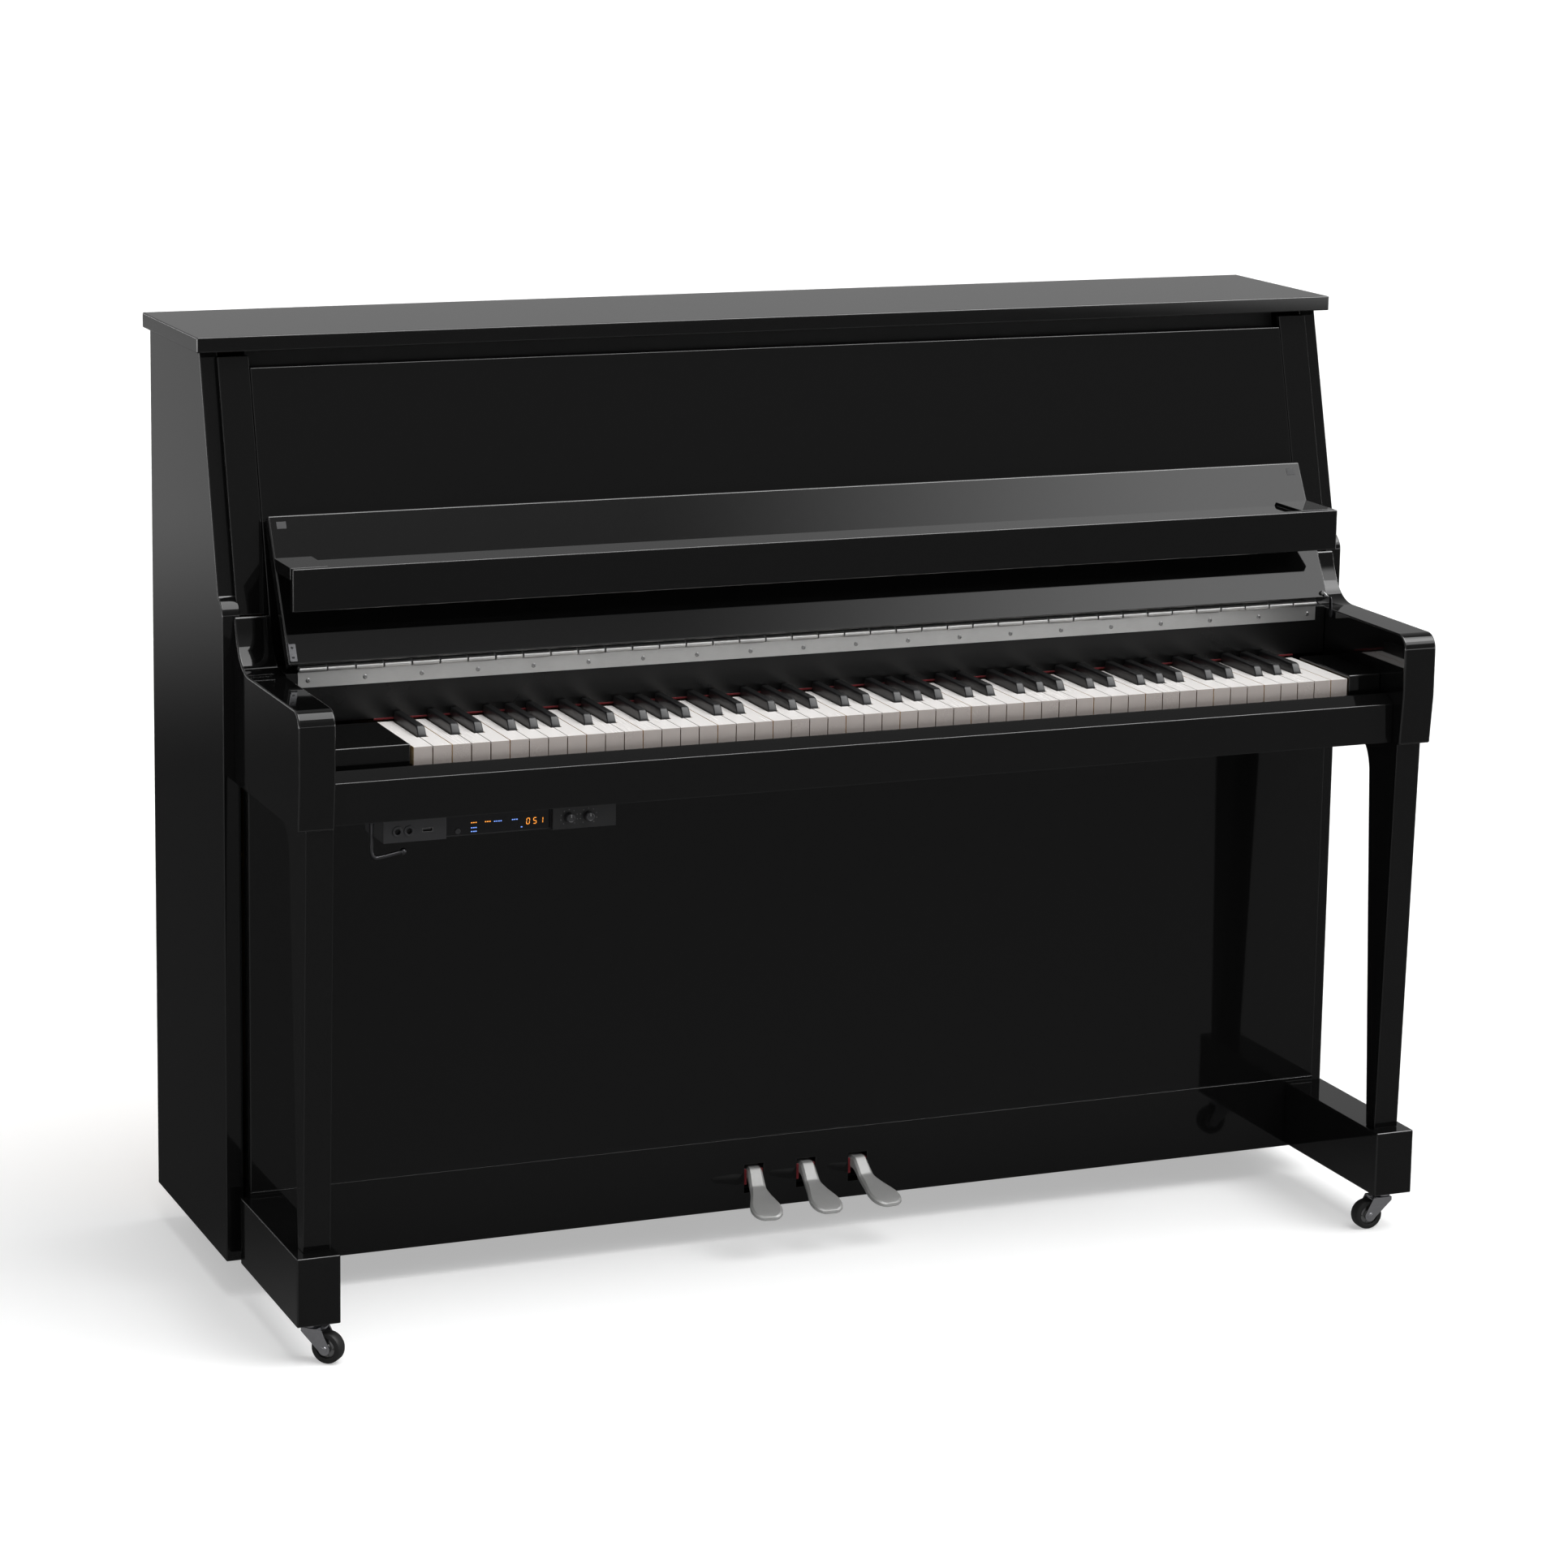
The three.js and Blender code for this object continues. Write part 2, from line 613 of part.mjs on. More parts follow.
function pedal(x, splay) {
  const tip = pedalTipY;
  const neck = lowerFrontY - 13;
  const wide = pedalTipWidth / 2;
  const thin = pedalWidth / 2;
  const side = alongX([
    [lowerFrontY + 9, 84], [neck + 4, 80], [neck - 7, 71], [neck - 22, 66.5],
    [tip + 24, 61.5], [tip, 56], [tip, 61], [tip + 24, 69.5], [neck - 22, 76],
    [neck - 11, 80], [neck - 1, 90], [neck + 7, 97.5], [lowerFrontY + 9, 99],
  ], -wide - 1, wide + 1);
  const right = [
    [thin, lowerFrontY + 10], [thin, neck - 4], [thin + 2, neck - 14], [wide - 4, tip + 38],
    [wide, tip + 22], [wide - 3, tip + 7], [wide - 11, tip],
  ];
  const left = right.map(([px, py]) => [-px, py]).reverse();
  const plan = upZ([...left, ...right], 40, 110);
  const blade = toGeometry(toSolid(side).intersect(toSolid(plan)));
  blade.translate(0, -lowerFrontY, 0).rotateZ(THREE.MathUtils.degToRad(splay));
  blade.translate(x, lowerFrontY, 0);
  const lever = box(x - 6, x + 6, lowerFrontY + 4, pedalAxisY, pedalAxisZ - 4, pedalAxisZ + 9);
  const boss = barX(9, x - 6, x + 6, pedalAxisY, pedalAxisZ, 16);
  return cut(join(blade, lever, boss), barX(pedalPin + gap, x - 9, x + 9, pedalAxisY, pedalAxisZ, 16));
}
addPiece('pedal_left', pedal(pedalXs[0], -pedalSplay), satinSteel);
addPiece('pedal_middle', pedal(pedalXs[1], 0), satinSteel);
addPiece('pedal_right', pedal(pedalXs[2], pedalSplay), satinSteel);

const bracketHalf = pedalSpacing + 25;
const bracketZ = bottomBoardTopZ + gap;
const ears = pedalXs.flatMap((x) => [-1, 1].map((side) => {
  const middle = x + side * 10;
  return box(middle - 3, middle + 3, pedalAxisY - 9, pedalAxisY + 9, bracketZ + 2, pedalAxisZ + 10);
}));
addPiece('pedal_bracket', join(
  box(-bracketHalf, bracketHalf, pedalAxisY - 20, pedalAxisY + 20, bracketZ, bracketZ + 3),
  barX(pedalPin, -bracketHalf + 10, bracketHalf - 10, pedalAxisY, pedalAxisZ, 16),
  ...ears), satinSteel);

// ---- casters ----
// The stem stands at (x, y); the wheel trails it in the direction of heading, in degrees.
function addCaster(name, x, y, topZ, heading) {
  const cheek = casterWheelWidth / 2 + 1;
  const crownZ = 2 * casterWheelRadius + 1.2;
  const side = [
    [-9, crownZ + 3], [-9, crownZ - 1], [casterTrail - 7, casterWheelRadius - 5],
    [casterTrail + 6, casterWheelRadius - 6], [casterTrail + 7, casterWheelRadius + 6],
    [16, crownZ + 3],
  ];
  const room = barY(casterWheelRadius + 0.8, -cheek, cheek, casterTrail, casterWheelRadius, 24);
  const fork = join(
    cut(alongY(side, -cheek - 2, cheek + 2), room,
      box(casterTrail - 10, casterTrail + 30, -cheek, cheek, -1, crownZ)),
    barY(casterAxle, -cheek - 3, cheek + 3, casterTrail, casterWheelRadius, 12),
    barZ(8, crownZ + 1, topZ - 1, 0, 0, 16),
    barZ(17, topZ - casterPlate, topZ, 0, 0, 20));
  const wheel = cut(
    barY(casterWheelRadius, -casterWheelWidth / 2, casterWheelWidth / 2, casterTrail, casterWheelRadius, 24),
    barY(casterAxle + gap, -cheek, cheek, casterTrail, casterWheelRadius, 12));
  const caster = new THREE.Group();
  caster.add(addPiece(name + '_fork', fork, chrome));
  caster.add(addPiece(name + '_wheel', wheel, wheelBlack));
  caster.position.set(x, y, 0);
  caster.rotation.z = THREE.MathUtils.degToRad(heading);
  group.add(caster);
}
const toeMiddle = (toeInner + toeOuter) / 2;
const casterFrontY = toeFrontY + casterInset;
addCaster('caster_front_left', -toeMiddle, casterFrontY, toeBottomZ - gap, -45);
addCaster('caster_front_right', toeMiddle, casterFrontY, toeBottomZ - gap, 180);
const rearCasterX = sideInner - rearCasterInset;
addCaster('caster_rear_left', -rearCasterX, rearCasterY, sideBottomZ - gap, -90);
addCaster('caster_rear_right', rearCasterX, rearCasterY, sideBottomZ - gap, -90);

// ---- headphone control unit ----
const unitLeft = -panelHalf + unitInset;
const unitRight = unitLeft + unitWidth;
const screenLeft = unitLeft + screenInset;
const screenRight = screenLeft + screenWidth;
const hangerX = unitLeft - hangerInset;
const unitTopZ = armBottomZ - gap;
const unitBottomZ = unitTopZ - unitHeight;
const unitMiddleZ = (unitTopZ + unitBottomZ) / 2;
const screenY = unitFrontY + screenSetBack;
const jackXs = [unitLeft + 17, unitLeft + 31];
const buttonX = screenLeft + 16;
const buttonZ = unitBottomZ + 6;
addPiece('control_unit', cut(
  box(unitLeft, unitRight, unitFrontY, unitFrontY + unitDepth, unitBottomZ, unitTopZ),
  box(screenLeft, screenRight, unitFrontY - 1, screenY, unitBottomZ - 1, unitTopZ + 1),
  ...jackXs.map((x) => barY(3.4, unitFrontY - 1, unitFrontY + 16, x, unitMiddleZ - 1)),
  box(unitLeft + 47, unitLeft + 59.4, unitFrontY - 1, unitFrontY + 12, unitMiddleZ - 3.4, unitMiddleZ + 1.4),
  barY(buttonRadius + gap, screenY - 1, screenY + 6, buttonX, buttonZ)), satinBlack);
const knobXs = [screenRight + 20, screenRight + 44];
const knob = (x) => barY(knobRadius, unitFrontY - gap - knobLength, unitFrontY - gap, x, unitMiddleZ);
addPiece('volume_knob', knob(knobXs[0]), satinBlack);
addPiece('level_knob', knob(knobXs[1]), satinBlack);
addPiece('power_button',
  barY(buttonRadius, screenY - buttonTravel - 0.5, screenY + 4, buttonX, buttonZ), satinBlack);

const hangerFootZ = armBottomZ - hangerDrop;
const hangerPath = new THREE.CatmullRomCurve3([
  new THREE.Vector3(hangerX, hangerY, unitTopZ - 1),
  new THREE.Vector3(hangerX, hangerY, (unitTopZ + hangerFootZ) / 2),
  new THREE.Vector3(hangerX, hangerY, hangerFootZ + 7),
  new THREE.Vector3(hangerX + 3, hangerY, hangerFootZ + 1.5),
  new THREE.Vector3(hangerX + 9, hangerY, hangerFootZ),
  new THREE.Vector3(hangerX + hangerReach, hangerY, hangerFootZ + 5),
]);
const rodSection = new THREE.Shape(arc(0, 0, hangerRadius, 0, 324, 9).map(([x, y]) => new THREE.Vector2(x, y)));
const rod = new THREE.ExtrudeGeometry(rodSection, { steps: 24, extrudePath: hangerPath, bevelEnabled: false });
const knobEnd = new THREE.SphereGeometry(hangerRadius + 1.8, 12, 8);
knobEnd.translate(hangerX + hangerReach, hangerY, hangerFootZ + 5);
addPiece('headphone_hanger', join(
  box(hangerX - 10, hangerX + 10, hangerY - 11, hangerY + 11, unitTopZ - 2, unitTopZ), rod, knobEnd), satinSteel);

// ---- inside: back frame, soundboard, plate and action ----
const frameHalf = sideInner - gap;
const frameBottomZ = bottomBoardTopZ + gap;
const frameTopZ = lidPlate - hingeLeaf - 2 * gap;
const bayBottomZ = frameBottomZ + 82;
const bayTopZ = frameTopZ - 98;
const posts = [-1, -0.5, 0, 0.5, 1].map((share) => share * (frameHalf - postWidth / 2));
const bays = posts.slice(1).map((x, i) => box(posts[i] + postWidth / 2, x - postWidth / 2,
  frameFrontY - 1, frameBackY + 1, bayBottomZ, bayTopZ));
addPiece('back_frame', cut(
  box(-frameHalf, frameHalf, frameFrontY, frameFrontY + frameDepth, frameBottomZ, frameTopZ),
  ...bays), beech);

const pinBlockTopZ = frameTopZ - pinBlockDrop;
const pinBlockBottomZ = pinBlockTopZ - pinBlockHeight;
const soundboardBackY = frameFrontY - gap;
const soundboardFrontY = soundboardBackY - soundboardThickness;

// A bridge is a band of even width along a line of [x, z] points.
function bridge(line, width) {
  const upper = line.map(([x, z]) => [x, z + width / 2]);
  const lower = line.map(([x, z]) => [x, z - width / 2]).reverse();
  return alongY([...lower, ...upper], soundboardFrontY - 20, soundboardFrontY + 1);
}
addPiece('soundboard', join(
  box(-frameHalf + 6, frameHalf - 6, soundboardFrontY, soundboardBackY, bayBottomZ - 40, pinBlockBottomZ - 6),
  bridge([[-400, 300], [-180, 305], [60, 360], [300, 480], [500, 640], [640, 810]], 34),
  bridge([[-660, 350], [-560, 260], [-440, 200]], 34)), spruce);
addPiece('pin_block', box(-frameHalf + 26, frameHalf - 26, plateBackY + gap, soundboardBackY,
  pinBlockBottomZ, pinBlockTopZ), beech);

const plateHalf = frameHalf - 20;
const plateWindows = [[-plateHalf + 45, -280, 190], [-235, 190, 245], [235, plateHalf - 45, 420]];
addPiece('iron_plate', cut(
  box(-plateHalf, plateHalf, plateBackY - plateThickness, plateBackY, bayBottomZ - 30, pinBlockTopZ + 8),
  ...plateWindows.map(([x0, x1, z0]) => box(x0, x1, plateBackY - plateThickness - 1, plateBackY + 1,
    z0, pinBlockBottomZ - 22))), bronze);

const actionLeft = keyboardLeft - 20;
const actionRight = keyboardRight + 20;
const bracketFrontY = keyTailY + 4;
const brackets = [0, 0.36, 0.68, 1].map((share) => {
  const x = THREE.MathUtils.lerp(actionLeft, actionRight - 12, share);
  return alongX([
    [bracketFrontY, onKeybedZ], [keybedBackY - 1, onKeybedZ], [keybedBackY - 1, 905],
    [bracketFrontY - 40, 905], [bracketFrontY - 40, 850], [bracketFrontY, 800],
  ], x, x + 12);
});
addPiece('action_frame', join(
  box(actionLeft, actionRight, bracketFrontY - 14, keybedBackY - 11, 745, 775),
  box(actionLeft, actionRight, bracketFrontY - 42, bracketFrontY - 26, 862, 880),
  ...brackets), beech);

export default group;
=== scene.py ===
"""The looks of a compact upright piano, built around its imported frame.

Sizes are millimetres in the row frame until put() turns them into metres: X runs from the bass end to the
treble end, Y from the player to the back of the case, and Z up from the floor.
"""

import json
import math

import bmesh
import bpy
import numpy as np
from mathutils import Matrix, Vector


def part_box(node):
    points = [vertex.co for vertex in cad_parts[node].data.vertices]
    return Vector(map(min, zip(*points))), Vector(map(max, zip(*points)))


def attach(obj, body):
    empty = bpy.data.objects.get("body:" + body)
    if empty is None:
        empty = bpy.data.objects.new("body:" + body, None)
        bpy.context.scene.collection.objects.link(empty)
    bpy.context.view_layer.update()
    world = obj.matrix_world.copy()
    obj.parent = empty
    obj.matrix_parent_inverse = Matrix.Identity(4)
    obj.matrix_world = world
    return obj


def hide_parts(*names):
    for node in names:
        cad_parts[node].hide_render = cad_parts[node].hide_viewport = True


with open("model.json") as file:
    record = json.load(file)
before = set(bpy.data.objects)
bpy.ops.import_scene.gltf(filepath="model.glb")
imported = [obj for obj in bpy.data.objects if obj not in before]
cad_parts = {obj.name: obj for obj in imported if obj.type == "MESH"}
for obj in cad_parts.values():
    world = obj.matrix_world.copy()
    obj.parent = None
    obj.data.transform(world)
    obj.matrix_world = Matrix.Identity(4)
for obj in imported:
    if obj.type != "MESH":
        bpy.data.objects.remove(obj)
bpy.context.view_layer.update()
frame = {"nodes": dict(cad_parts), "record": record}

MM = 0.001
X, Y, Z = 0, 1, 2
RECORD = frame["record"]
BODY_OF = {node: body for body, nodes in RECORD["behaviour"]["bodies"].items() for node in nodes}
SLOT_OF = {part["node"]: part["material_slot"] for part in RECORD["subparts"]}


def corners(node):
    """The lowest and highest corner of a CAD node, in millimetres."""
    low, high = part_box(node)
    return np.array(low) / MM, np.array(high) / MM


# ---- shader fields ----

def node(tree, kind, settings=None, sockets=None, out=0):
    """A node of any type: its settings are set first, then its sockets' values or links. Gives one output."""
    made = tree.nodes.new("ShaderNode" + kind)
    for name, value in (settings or {}).items():
        if name == "stops":
            ramp = made.color_ramp.elements
            ramp.remove(ramp[1])
            ramp[0].position, ramp[0].color = value[0]
            for at, colour in value[1:]:
                ramp.new(at).color = colour
        else:
            setattr(made, name, value)
    for name, value in (sockets or {}).items():
        if isinstance(value, Field):
            tree.links.new(value.socket, made.inputs[name])
        else:
            made.inputs[name].default_value = value
    return Field(made.outputs[out])


class Field:
    """A number that varies over a surface. Each operator adds the Math node that works out its result."""

    def __init__(self, socket):
        self.socket = socket

    def math(self, operation, first, second):
        return node(self.socket.node.id_data, "Math", {"operation": operation}, {0: first, 1: second})

    def __add__(self, other):
        return self.math("ADD", self, other)

    def __mul__(self, other):
        return self.math("MULTIPLY", self, other)

    def __sub__(self, other):
        return self.math("SUBTRACT", self, other)

    def __rsub__(self, other):
        return self.math("SUBTRACT", other, self)

    def __gt__(self, other):
        return self.math("GREATER_THAN", self, other)

    __radd__, __rmul__ = __add__, __mul__


def tone(red, green, blue):
    """A display colour from 0 to 255, as linear light."""
    share = np.array([red, green, blue]) / 255
    linear = np.where(share > 0.04045, ((share + 0.055) / 1.055) ** 2.4, share / 12.92)
    return (*linear.tolist(), 1.0)


def shaded(colour, share):
    """A colour made darker by a share under 1, or brighter by one above it."""
    return (*[min(1.0, c * share) for c in colour[:3]], 1.0)


class Paint:
    """A finish: a shader with its constant sockets, and the fields that vary over a piece."""

    def __init__(self, name, colour, roughness, metallic=0.0, **constants):
        self.made = bpy.data.materials.new(name)
        self.made.use_nodes = True
        self.tree = self.made.node_tree
        self.shader = self.tree.nodes["Principled BSDF"]
        self.place = self.node("TexCoord", out="Object")
        constants.update(Base_Color=colour, Roughness=roughness, Metallic=metallic)
        for socket, value in constants.items():
            self.shader.inputs[socket.replace("_", " ")].default_value = value

    def node(self, kind, settings=None, sockets=None, out=0):
        return node(self.tree, kind, settings, sockets, out)

    def noise(self, scale, detail=3.0, stretch=(1, 1, 1), turn=(0, 0, 0)):
        """Cloudy noise from 0 to 1, about 1/scale metres from crest to crest; stretch scales each axis."""
        at = self.node("Mapping", {}, {"Vector": self.place, "Scale": stretch, "Rotation": turn})
        return self.node("TexNoise", {}, {"Vector": at, "Scale": scale, "Detail": detail})

    def along(self, axis):
        """The coordinate on one axis, in metres."""
        return self.node("SeparateXYZ", {}, {"Vector": self.place}, axis)

    def ramp(self, field, *stops):
        """Colours spread over a field, as pairs of position and colour."""
        return self.node("ValToRGB", {"stops": stops}, {0: field})

    def mix(self, share, first, second):
        """The first colour where share is 0 and the second where it is 1."""
        return self.node("Mix", {"data_type": "RGBA"}, {0: share, 6: first, 7: second}, 2)

    def vary(self, **fields):
        for socket, field in fields.items():
            self.tree.links.new(field.socket, self.shader.inputs[socket.replace("_", " ")])
        return self

    def bump(self, height, depth, strength=1.0):
        """Raises the surface by height times depth, in metres."""
        return self.vary(Normal=self.node("Bump", {}, {
            "Height": height, "Distance": depth, "Strength": strength}))


GRAIN = {X: (0.04, 1, 1), Y: (1, 0.04, 1), Z: (1, 1, 0.04)}
CAP_FOOT = 0.7128  # the underside of a white key's cap, in metres above the floor


def lacquer(name, gloss, shine=0.4):
    """Black polyester, polished: soft swirls and specks of dust in the gloss, and a faint ripple."""
    black = tone(9, 9, 9)
    paint = Paint(name, black, gloss, Specular_IOR_Level=shine)
    swirl = paint.noise(7, 5, (1, 0.4, 1))
    dust = paint.noise(900, 1) > 0.74
    paint.vary(Roughness=gloss + 0.035 * swirl + 0.12 * dust,
               Base_Color=paint.mix(dust, black, tone(16, 16, 16)))
    return paint.bump(paint.noise(45, 1), 0.0002, 0.03)


def moulded(name, colour, roughness, grit=1400, depth=0.00006, **constants):
    """Moulded plastic or paint with a fine even grain."""
    paint = Paint(name, colour, roughness, **constants)
    grain = paint.noise(grit, 2)
    patch = paint.noise(30, 3)
    paint.vary(Roughness=roughness - 0.06 + 0.12 * patch,
               Base_Color=paint.mix(patch, colour, shaded(colour, 0.86)))
    return paint.bump(grain, depth, 0.5)


def brushed(name, colour, roughness, axis, streaks=2600, **constants):
    """Plated metal with fine lines along one axis and a slow cloud of wear."""
    paint = Paint(name, colour, roughness, 1.0, **constants)
    lines = paint.noise(streaks, 2, GRAIN[axis])
    cloud = paint.noise(40, 4)
    paint.vary(Roughness=roughness - 0.05 + 0.1 * lines + 0.06 * cloud,
               Base_Color=paint.mix(lines * cloud, colour, shaded(colour, 0.72)))
    return paint.bump(lines, 0.00003, 0.35)


def wood(name, pale, deep, axis, rings=26, turn=(0, 0, 0), roughness=0.42):
    """Sawn wood: slow rings and fine fibres, both drawn out along one axis."""
    paint = Paint(name, pale, roughness, Specular_IOR_Level=0.35)
    ring = paint.noise(rings, 4, GRAIN[axis], turn)
    fibre = paint.noise(rings * 22, 2, GRAIN[axis], turn)
    colour = paint.ramp(ring, (0.3, pale), (0.5, deep), (0.58, pale), (0.72, deep))
    paint.vary(Base_Color=paint.mix(0.45 * fibre, colour, shaded(deep, 0.6)),
               Roughness=roughness - 0.1 + 0.25 * fibre)
    return paint.bump(fibre, 0.00012, 0.4)


def felt(name, colour, shade):
    """Pressed wool: tangled fibres in the colour and the surface."""
    paint = Paint(name, colour, 0.95, Sheen_Weight=0.4, Specular_IOR_Level=0.1)
    tangle = paint.noise(1500, 5)
    paint.vary(Base_Color=paint.mix(tangle, shade, colour))
    return paint.bump(tangle + 0.6 * paint.noise(300, 3), 0.0004, 0.8)


def ivory(name, colour, shade):
    """Smooth key plastic with a faint cloud, and a slightly matt touch where fingers rub."""
    paint = Paint(name, colour, 0.22, Specular_IOR_Level=0.45)
    cloud = paint.noise(14, 4, (1, 0.3, 1))
    fine = paint.noise(700, 2, GRAIN[Y])
    paint.vary(Base_Color=paint.mix(cloud, colour, shade), Roughness=0.17 + 0.12 * cloud + 0.06 * fine)
    return paint.bump(fine, 0.00002, 0.3)


def key_flank(name, cap, wooden):
    """The side of a key: its cap above, and the spruce body from the underside of the cap down."""
    paint = Paint(name, cap, 0.4)
    grain = paint.noise(420, 3, GRAIN[Y])
    body = paint.mix(grain, wooden, shaded(wooden, 0.55))
    paint.vary(Base_Color=paint.mix(paint.along(Z) > CAP_FOOT, body, cap), Roughness=0.3 + 0.2 * grain)
    return paint.bump(grain, 0.00008, 0.3)


def lit(name, colour, strength):
    """A lit lamp behind a diffusing mark, brightest at its middle."""
    paint = Paint(name, colour, 0.3, Emission_Color=colour, Emission_Strength=strength)
    glow = paint.noise(900, 1)
    return paint.vary(Emission_Color=paint.mix(glow, colour, shaded(colour, 1.6)))


ebony = lacquer("polished_ebony", 0.03)
satin_ebony = lacquer("satin_ebony", 0.26)
rubbed_edge = lacquer("rubbed_edge", 0.16, 1.0)
black_wood = moulded("black_wood", tone(38, 38, 38), 0.6, 500, 0.0002)
plastic = moulded("black_plastic", tone(36, 36, 38), 0.42)
unit_black = moulded("unit_black", tone(24, 24, 25), 0.36)
# Nearly black, darker than the black plastic and the black wood: painted shade in the jack sockets and in the
# gap under the lid.
painted_recess_shade = moulded("socket_painted_shade", tone(10, 10, 10), 0.6)
key_top = ivory("key_white", tone(250, 247, 245), tone(243, 239, 236))
# The key fronts are the key white painted greyer, as painted shade on the faces that get less light.
painted_shade_key_face = ivory("key_front", tone(176, 168, 163), tone(162, 154, 150))
spruce_body = wood("key_spruce", tone(222, 196, 152), tone(196, 160, 112), Y, 60)
# The key sides are painted darker than the key white and the key spruce, cap and wood alike, as painted shade
# between the keys.
key_side = key_flank("key_side", tone(190, 184, 180), tone(130, 108, 84))
sharp = moulded("sharp_black", tone(24, 24, 25), 0.34, 900, 0.00004)
nickel = brushed("satin_nickel", tone(212, 212, 211), 0.42, X)
pedal_metal = brushed("pedal_metal", tone(184, 184, 183), 0.5, Y, 1800)
pedal_metal.shader.inputs["Metallic"].default_value = 0.6
steel = brushed("steel", tone(168, 168, 168), 0.3, Z)
dark_steel = brushed("hanger_steel", tone(92, 92, 94), 0.26, Z)
chrome = brushed("chrome", tone(214, 214, 218), 0.1, X, 300)
rubber = moulded("wheel_rubber", tone(26, 26, 26), 0.55, 600, 0.0001)
beech_x = wood("beech_rail", tone(206, 172, 128), tone(188, 148, 102), X, 30)
beech_z = wood("beech_post", tone(202, 168, 124), tone(178, 138, 94), Z, 22)
spruce = wood("spruce_board", tone(224, 190, 136), tone(204, 160, 100), Z, 90, (0, math.radians(38), 0), 0.32)
spruce_rib = wood("spruce_rib", tone(228, 198, 146), tone(206, 168, 112), X, 60)
iron = moulded("bronzed_iron", tone(178, 146, 84), 0.38, 420, 0.0004, metallic=0.75)
red_felt = felt("red_felt", tone(122, 18, 27), tone(70, 8, 14))
green_felt = felt("action_felt", tone(60, 92, 70), tone(30, 52, 40))
hammer_felt = felt("hammer_felt", tone(236, 230, 214), tone(206, 198, 180))
wire = brushed("string_steel", tone(190, 190, 192), 0.22, Z, 900)
copper = brushed("string_copper", tone(206, 126, 84), 0.3, X, 3000)
glass = moulded("screen_glass", tone(9, 9, 11), 0.12, 500, 0.00001)
amber = lit("lamp_amber", (1.0, 0.28, 0.03, 1), 0.9)
blue = lit("lamp_blue", (0.16, 0.3, 1.0, 1), 0.8)
mark = moulded("dial_mark", tone(120, 120, 120), 0.5)


# ---- surfaces ----

def skin(rows, loop=False, tint=0):
    """The closed surface through rows of points. Each row is a ring. The end rows are filled, or joined to
    each other by loop."""
    rows = np.asarray(rows, float)
    if loop:
        rows = np.concatenate([rows, rows[:1]])
    count, size = rows.shape[:2]
    first, second = np.meshgrid(np.arange(count - 1) * size, np.arange(size), indexing="ij")
    after = (second + 1) % size
    quads = np.stack([first + second, first + after, first + size + after, first + size + second], -1)
    faces = quads.reshape(-1, 4).tolist()
    if not loop:
        last = np.arange((count - 1) * size, count * size)
        faces += [np.arange(size)[::-1].tolist(), last.tolist()]
    return rows.reshape(-1, 3), faces, [tint] * len(faces)


def plank(axis, outline, low, high, tint=0):
    """A flat outline carried straight along one axis from low to high."""
    outline = np.asarray(outline, float)
    return skin([np.insert(outline, axis, level, 1) for level in (low, high)], tint=tint)


def slab(low, high, tint=0):
    """A block between two corners, drawn as its outline carried up."""
    (x0, y0, z0), (x1, y1, z1) = low, high
    return plank(Z, [(x0, y0), (x1, y0), (x1, y1), (x0, y1)], z0, z1, tint)


def lathe(profile, centre, axis=Z, sides=24, loop=False, tint=0, flutes=0, depth=0.0):
    """Pairs of (distance along an axis, radius), turned round that axis through centre.
    Flutes cut that many waves of the given depth into each ring."""
    profile = np.asarray(profile, float)
    angle = np.linspace(0, 2 * np.pi, sides, endpoint=False)
    radius = profile[:, 1:2] * (1 - depth * (0.5 + 0.5 * np.cos(flutes * angle)))
    along = np.broadcast_to(profile[:, :1], radius.shape)
    rows = np.stack([along, radius * np.cos(angle), radius * np.sin(angle)], -1)
    return skin(np.roll(rows, axis, -1) + centre, loop, tint)


def tube(path, radius, sides=12, across=(0, 1, 0), tint=0):
    """A round section carried along path: each ring stands square to the path's own direction."""
    path = np.asarray(path, float)
    ahead = np.gradient(path, axis=0)
    ahead /= np.linalg.norm(ahead, axis=1, keepdims=True)
    side = np.cross(ahead, across)
    side /= np.linalg.norm(side, axis=1, keepdims=True)
    up = np.cross(side, ahead)
    angle = np.linspace(0, 2 * np.pi, sides, endpoint=False)[None, :, None]
    ring = side[:, None] * np.cos(angle) + up[:, None] * np.sin(angle)
    return skin(path[:, None] + ring * np.broadcast_to(radius, len(path))[:, None, None], tint=tint)


def smooth(points, count):
    """Count rows along the Catmull-Rom curve that passes through every row of points."""
    p = np.asarray(points, float)
    p = np.vstack([2 * p[0] - p[1], p, 2 * p[-1] - p[-2]])
    at = np.linspace(0, len(p) - 3 - 1e-9, count)
    i = at.astype(int)
    t = (at - i)[:, None]
    a, b, c, d = p[i], p[i + 1], p[i + 2], p[i + 3]
    return 0.5 * (2 * b + (c - a) * t + (2 * a - 5 * b + 4 * c - d) * t**2 + (3 * b - a - 3 * c + d) * t**3)


def bend(a, control, b, steps=14):
    """Points on the quadratic curve from a to b that leans towards control."""
    t = np.linspace(0, 1, steps)[:, None]
    return (1 - t)**2 * np.array(a) + 2 * t * (1 - t) * np.array(control) + t**2 * np.array(b)


def arc(centre, radius, start, end, steps=14):
    """Points on a circle, from one angle in degrees to another."""
    angle = np.radians(np.linspace(start, end, steps))
    return np.array(centre) + radius * np.stack([np.cos(angle), np.sin(angle)], -1)


def join(*shapes):
    """Several shapes as one."""
    points, faces, tints, base = [], [], [], 0
    for shape in shapes:
        points.append(shape[0])
        faces += [[base + corner for corner in face] for face in shape[1]]
        tints += shape[2]
        base += len(shape[0])
    return np.concatenate(points), faces, tints


def scatter(shape, offsets):
    """The same shape at every offset."""
    return join(*[(shape[0] + offset, shape[1], shape[2]) for offset in np.asarray(offsets, float)])


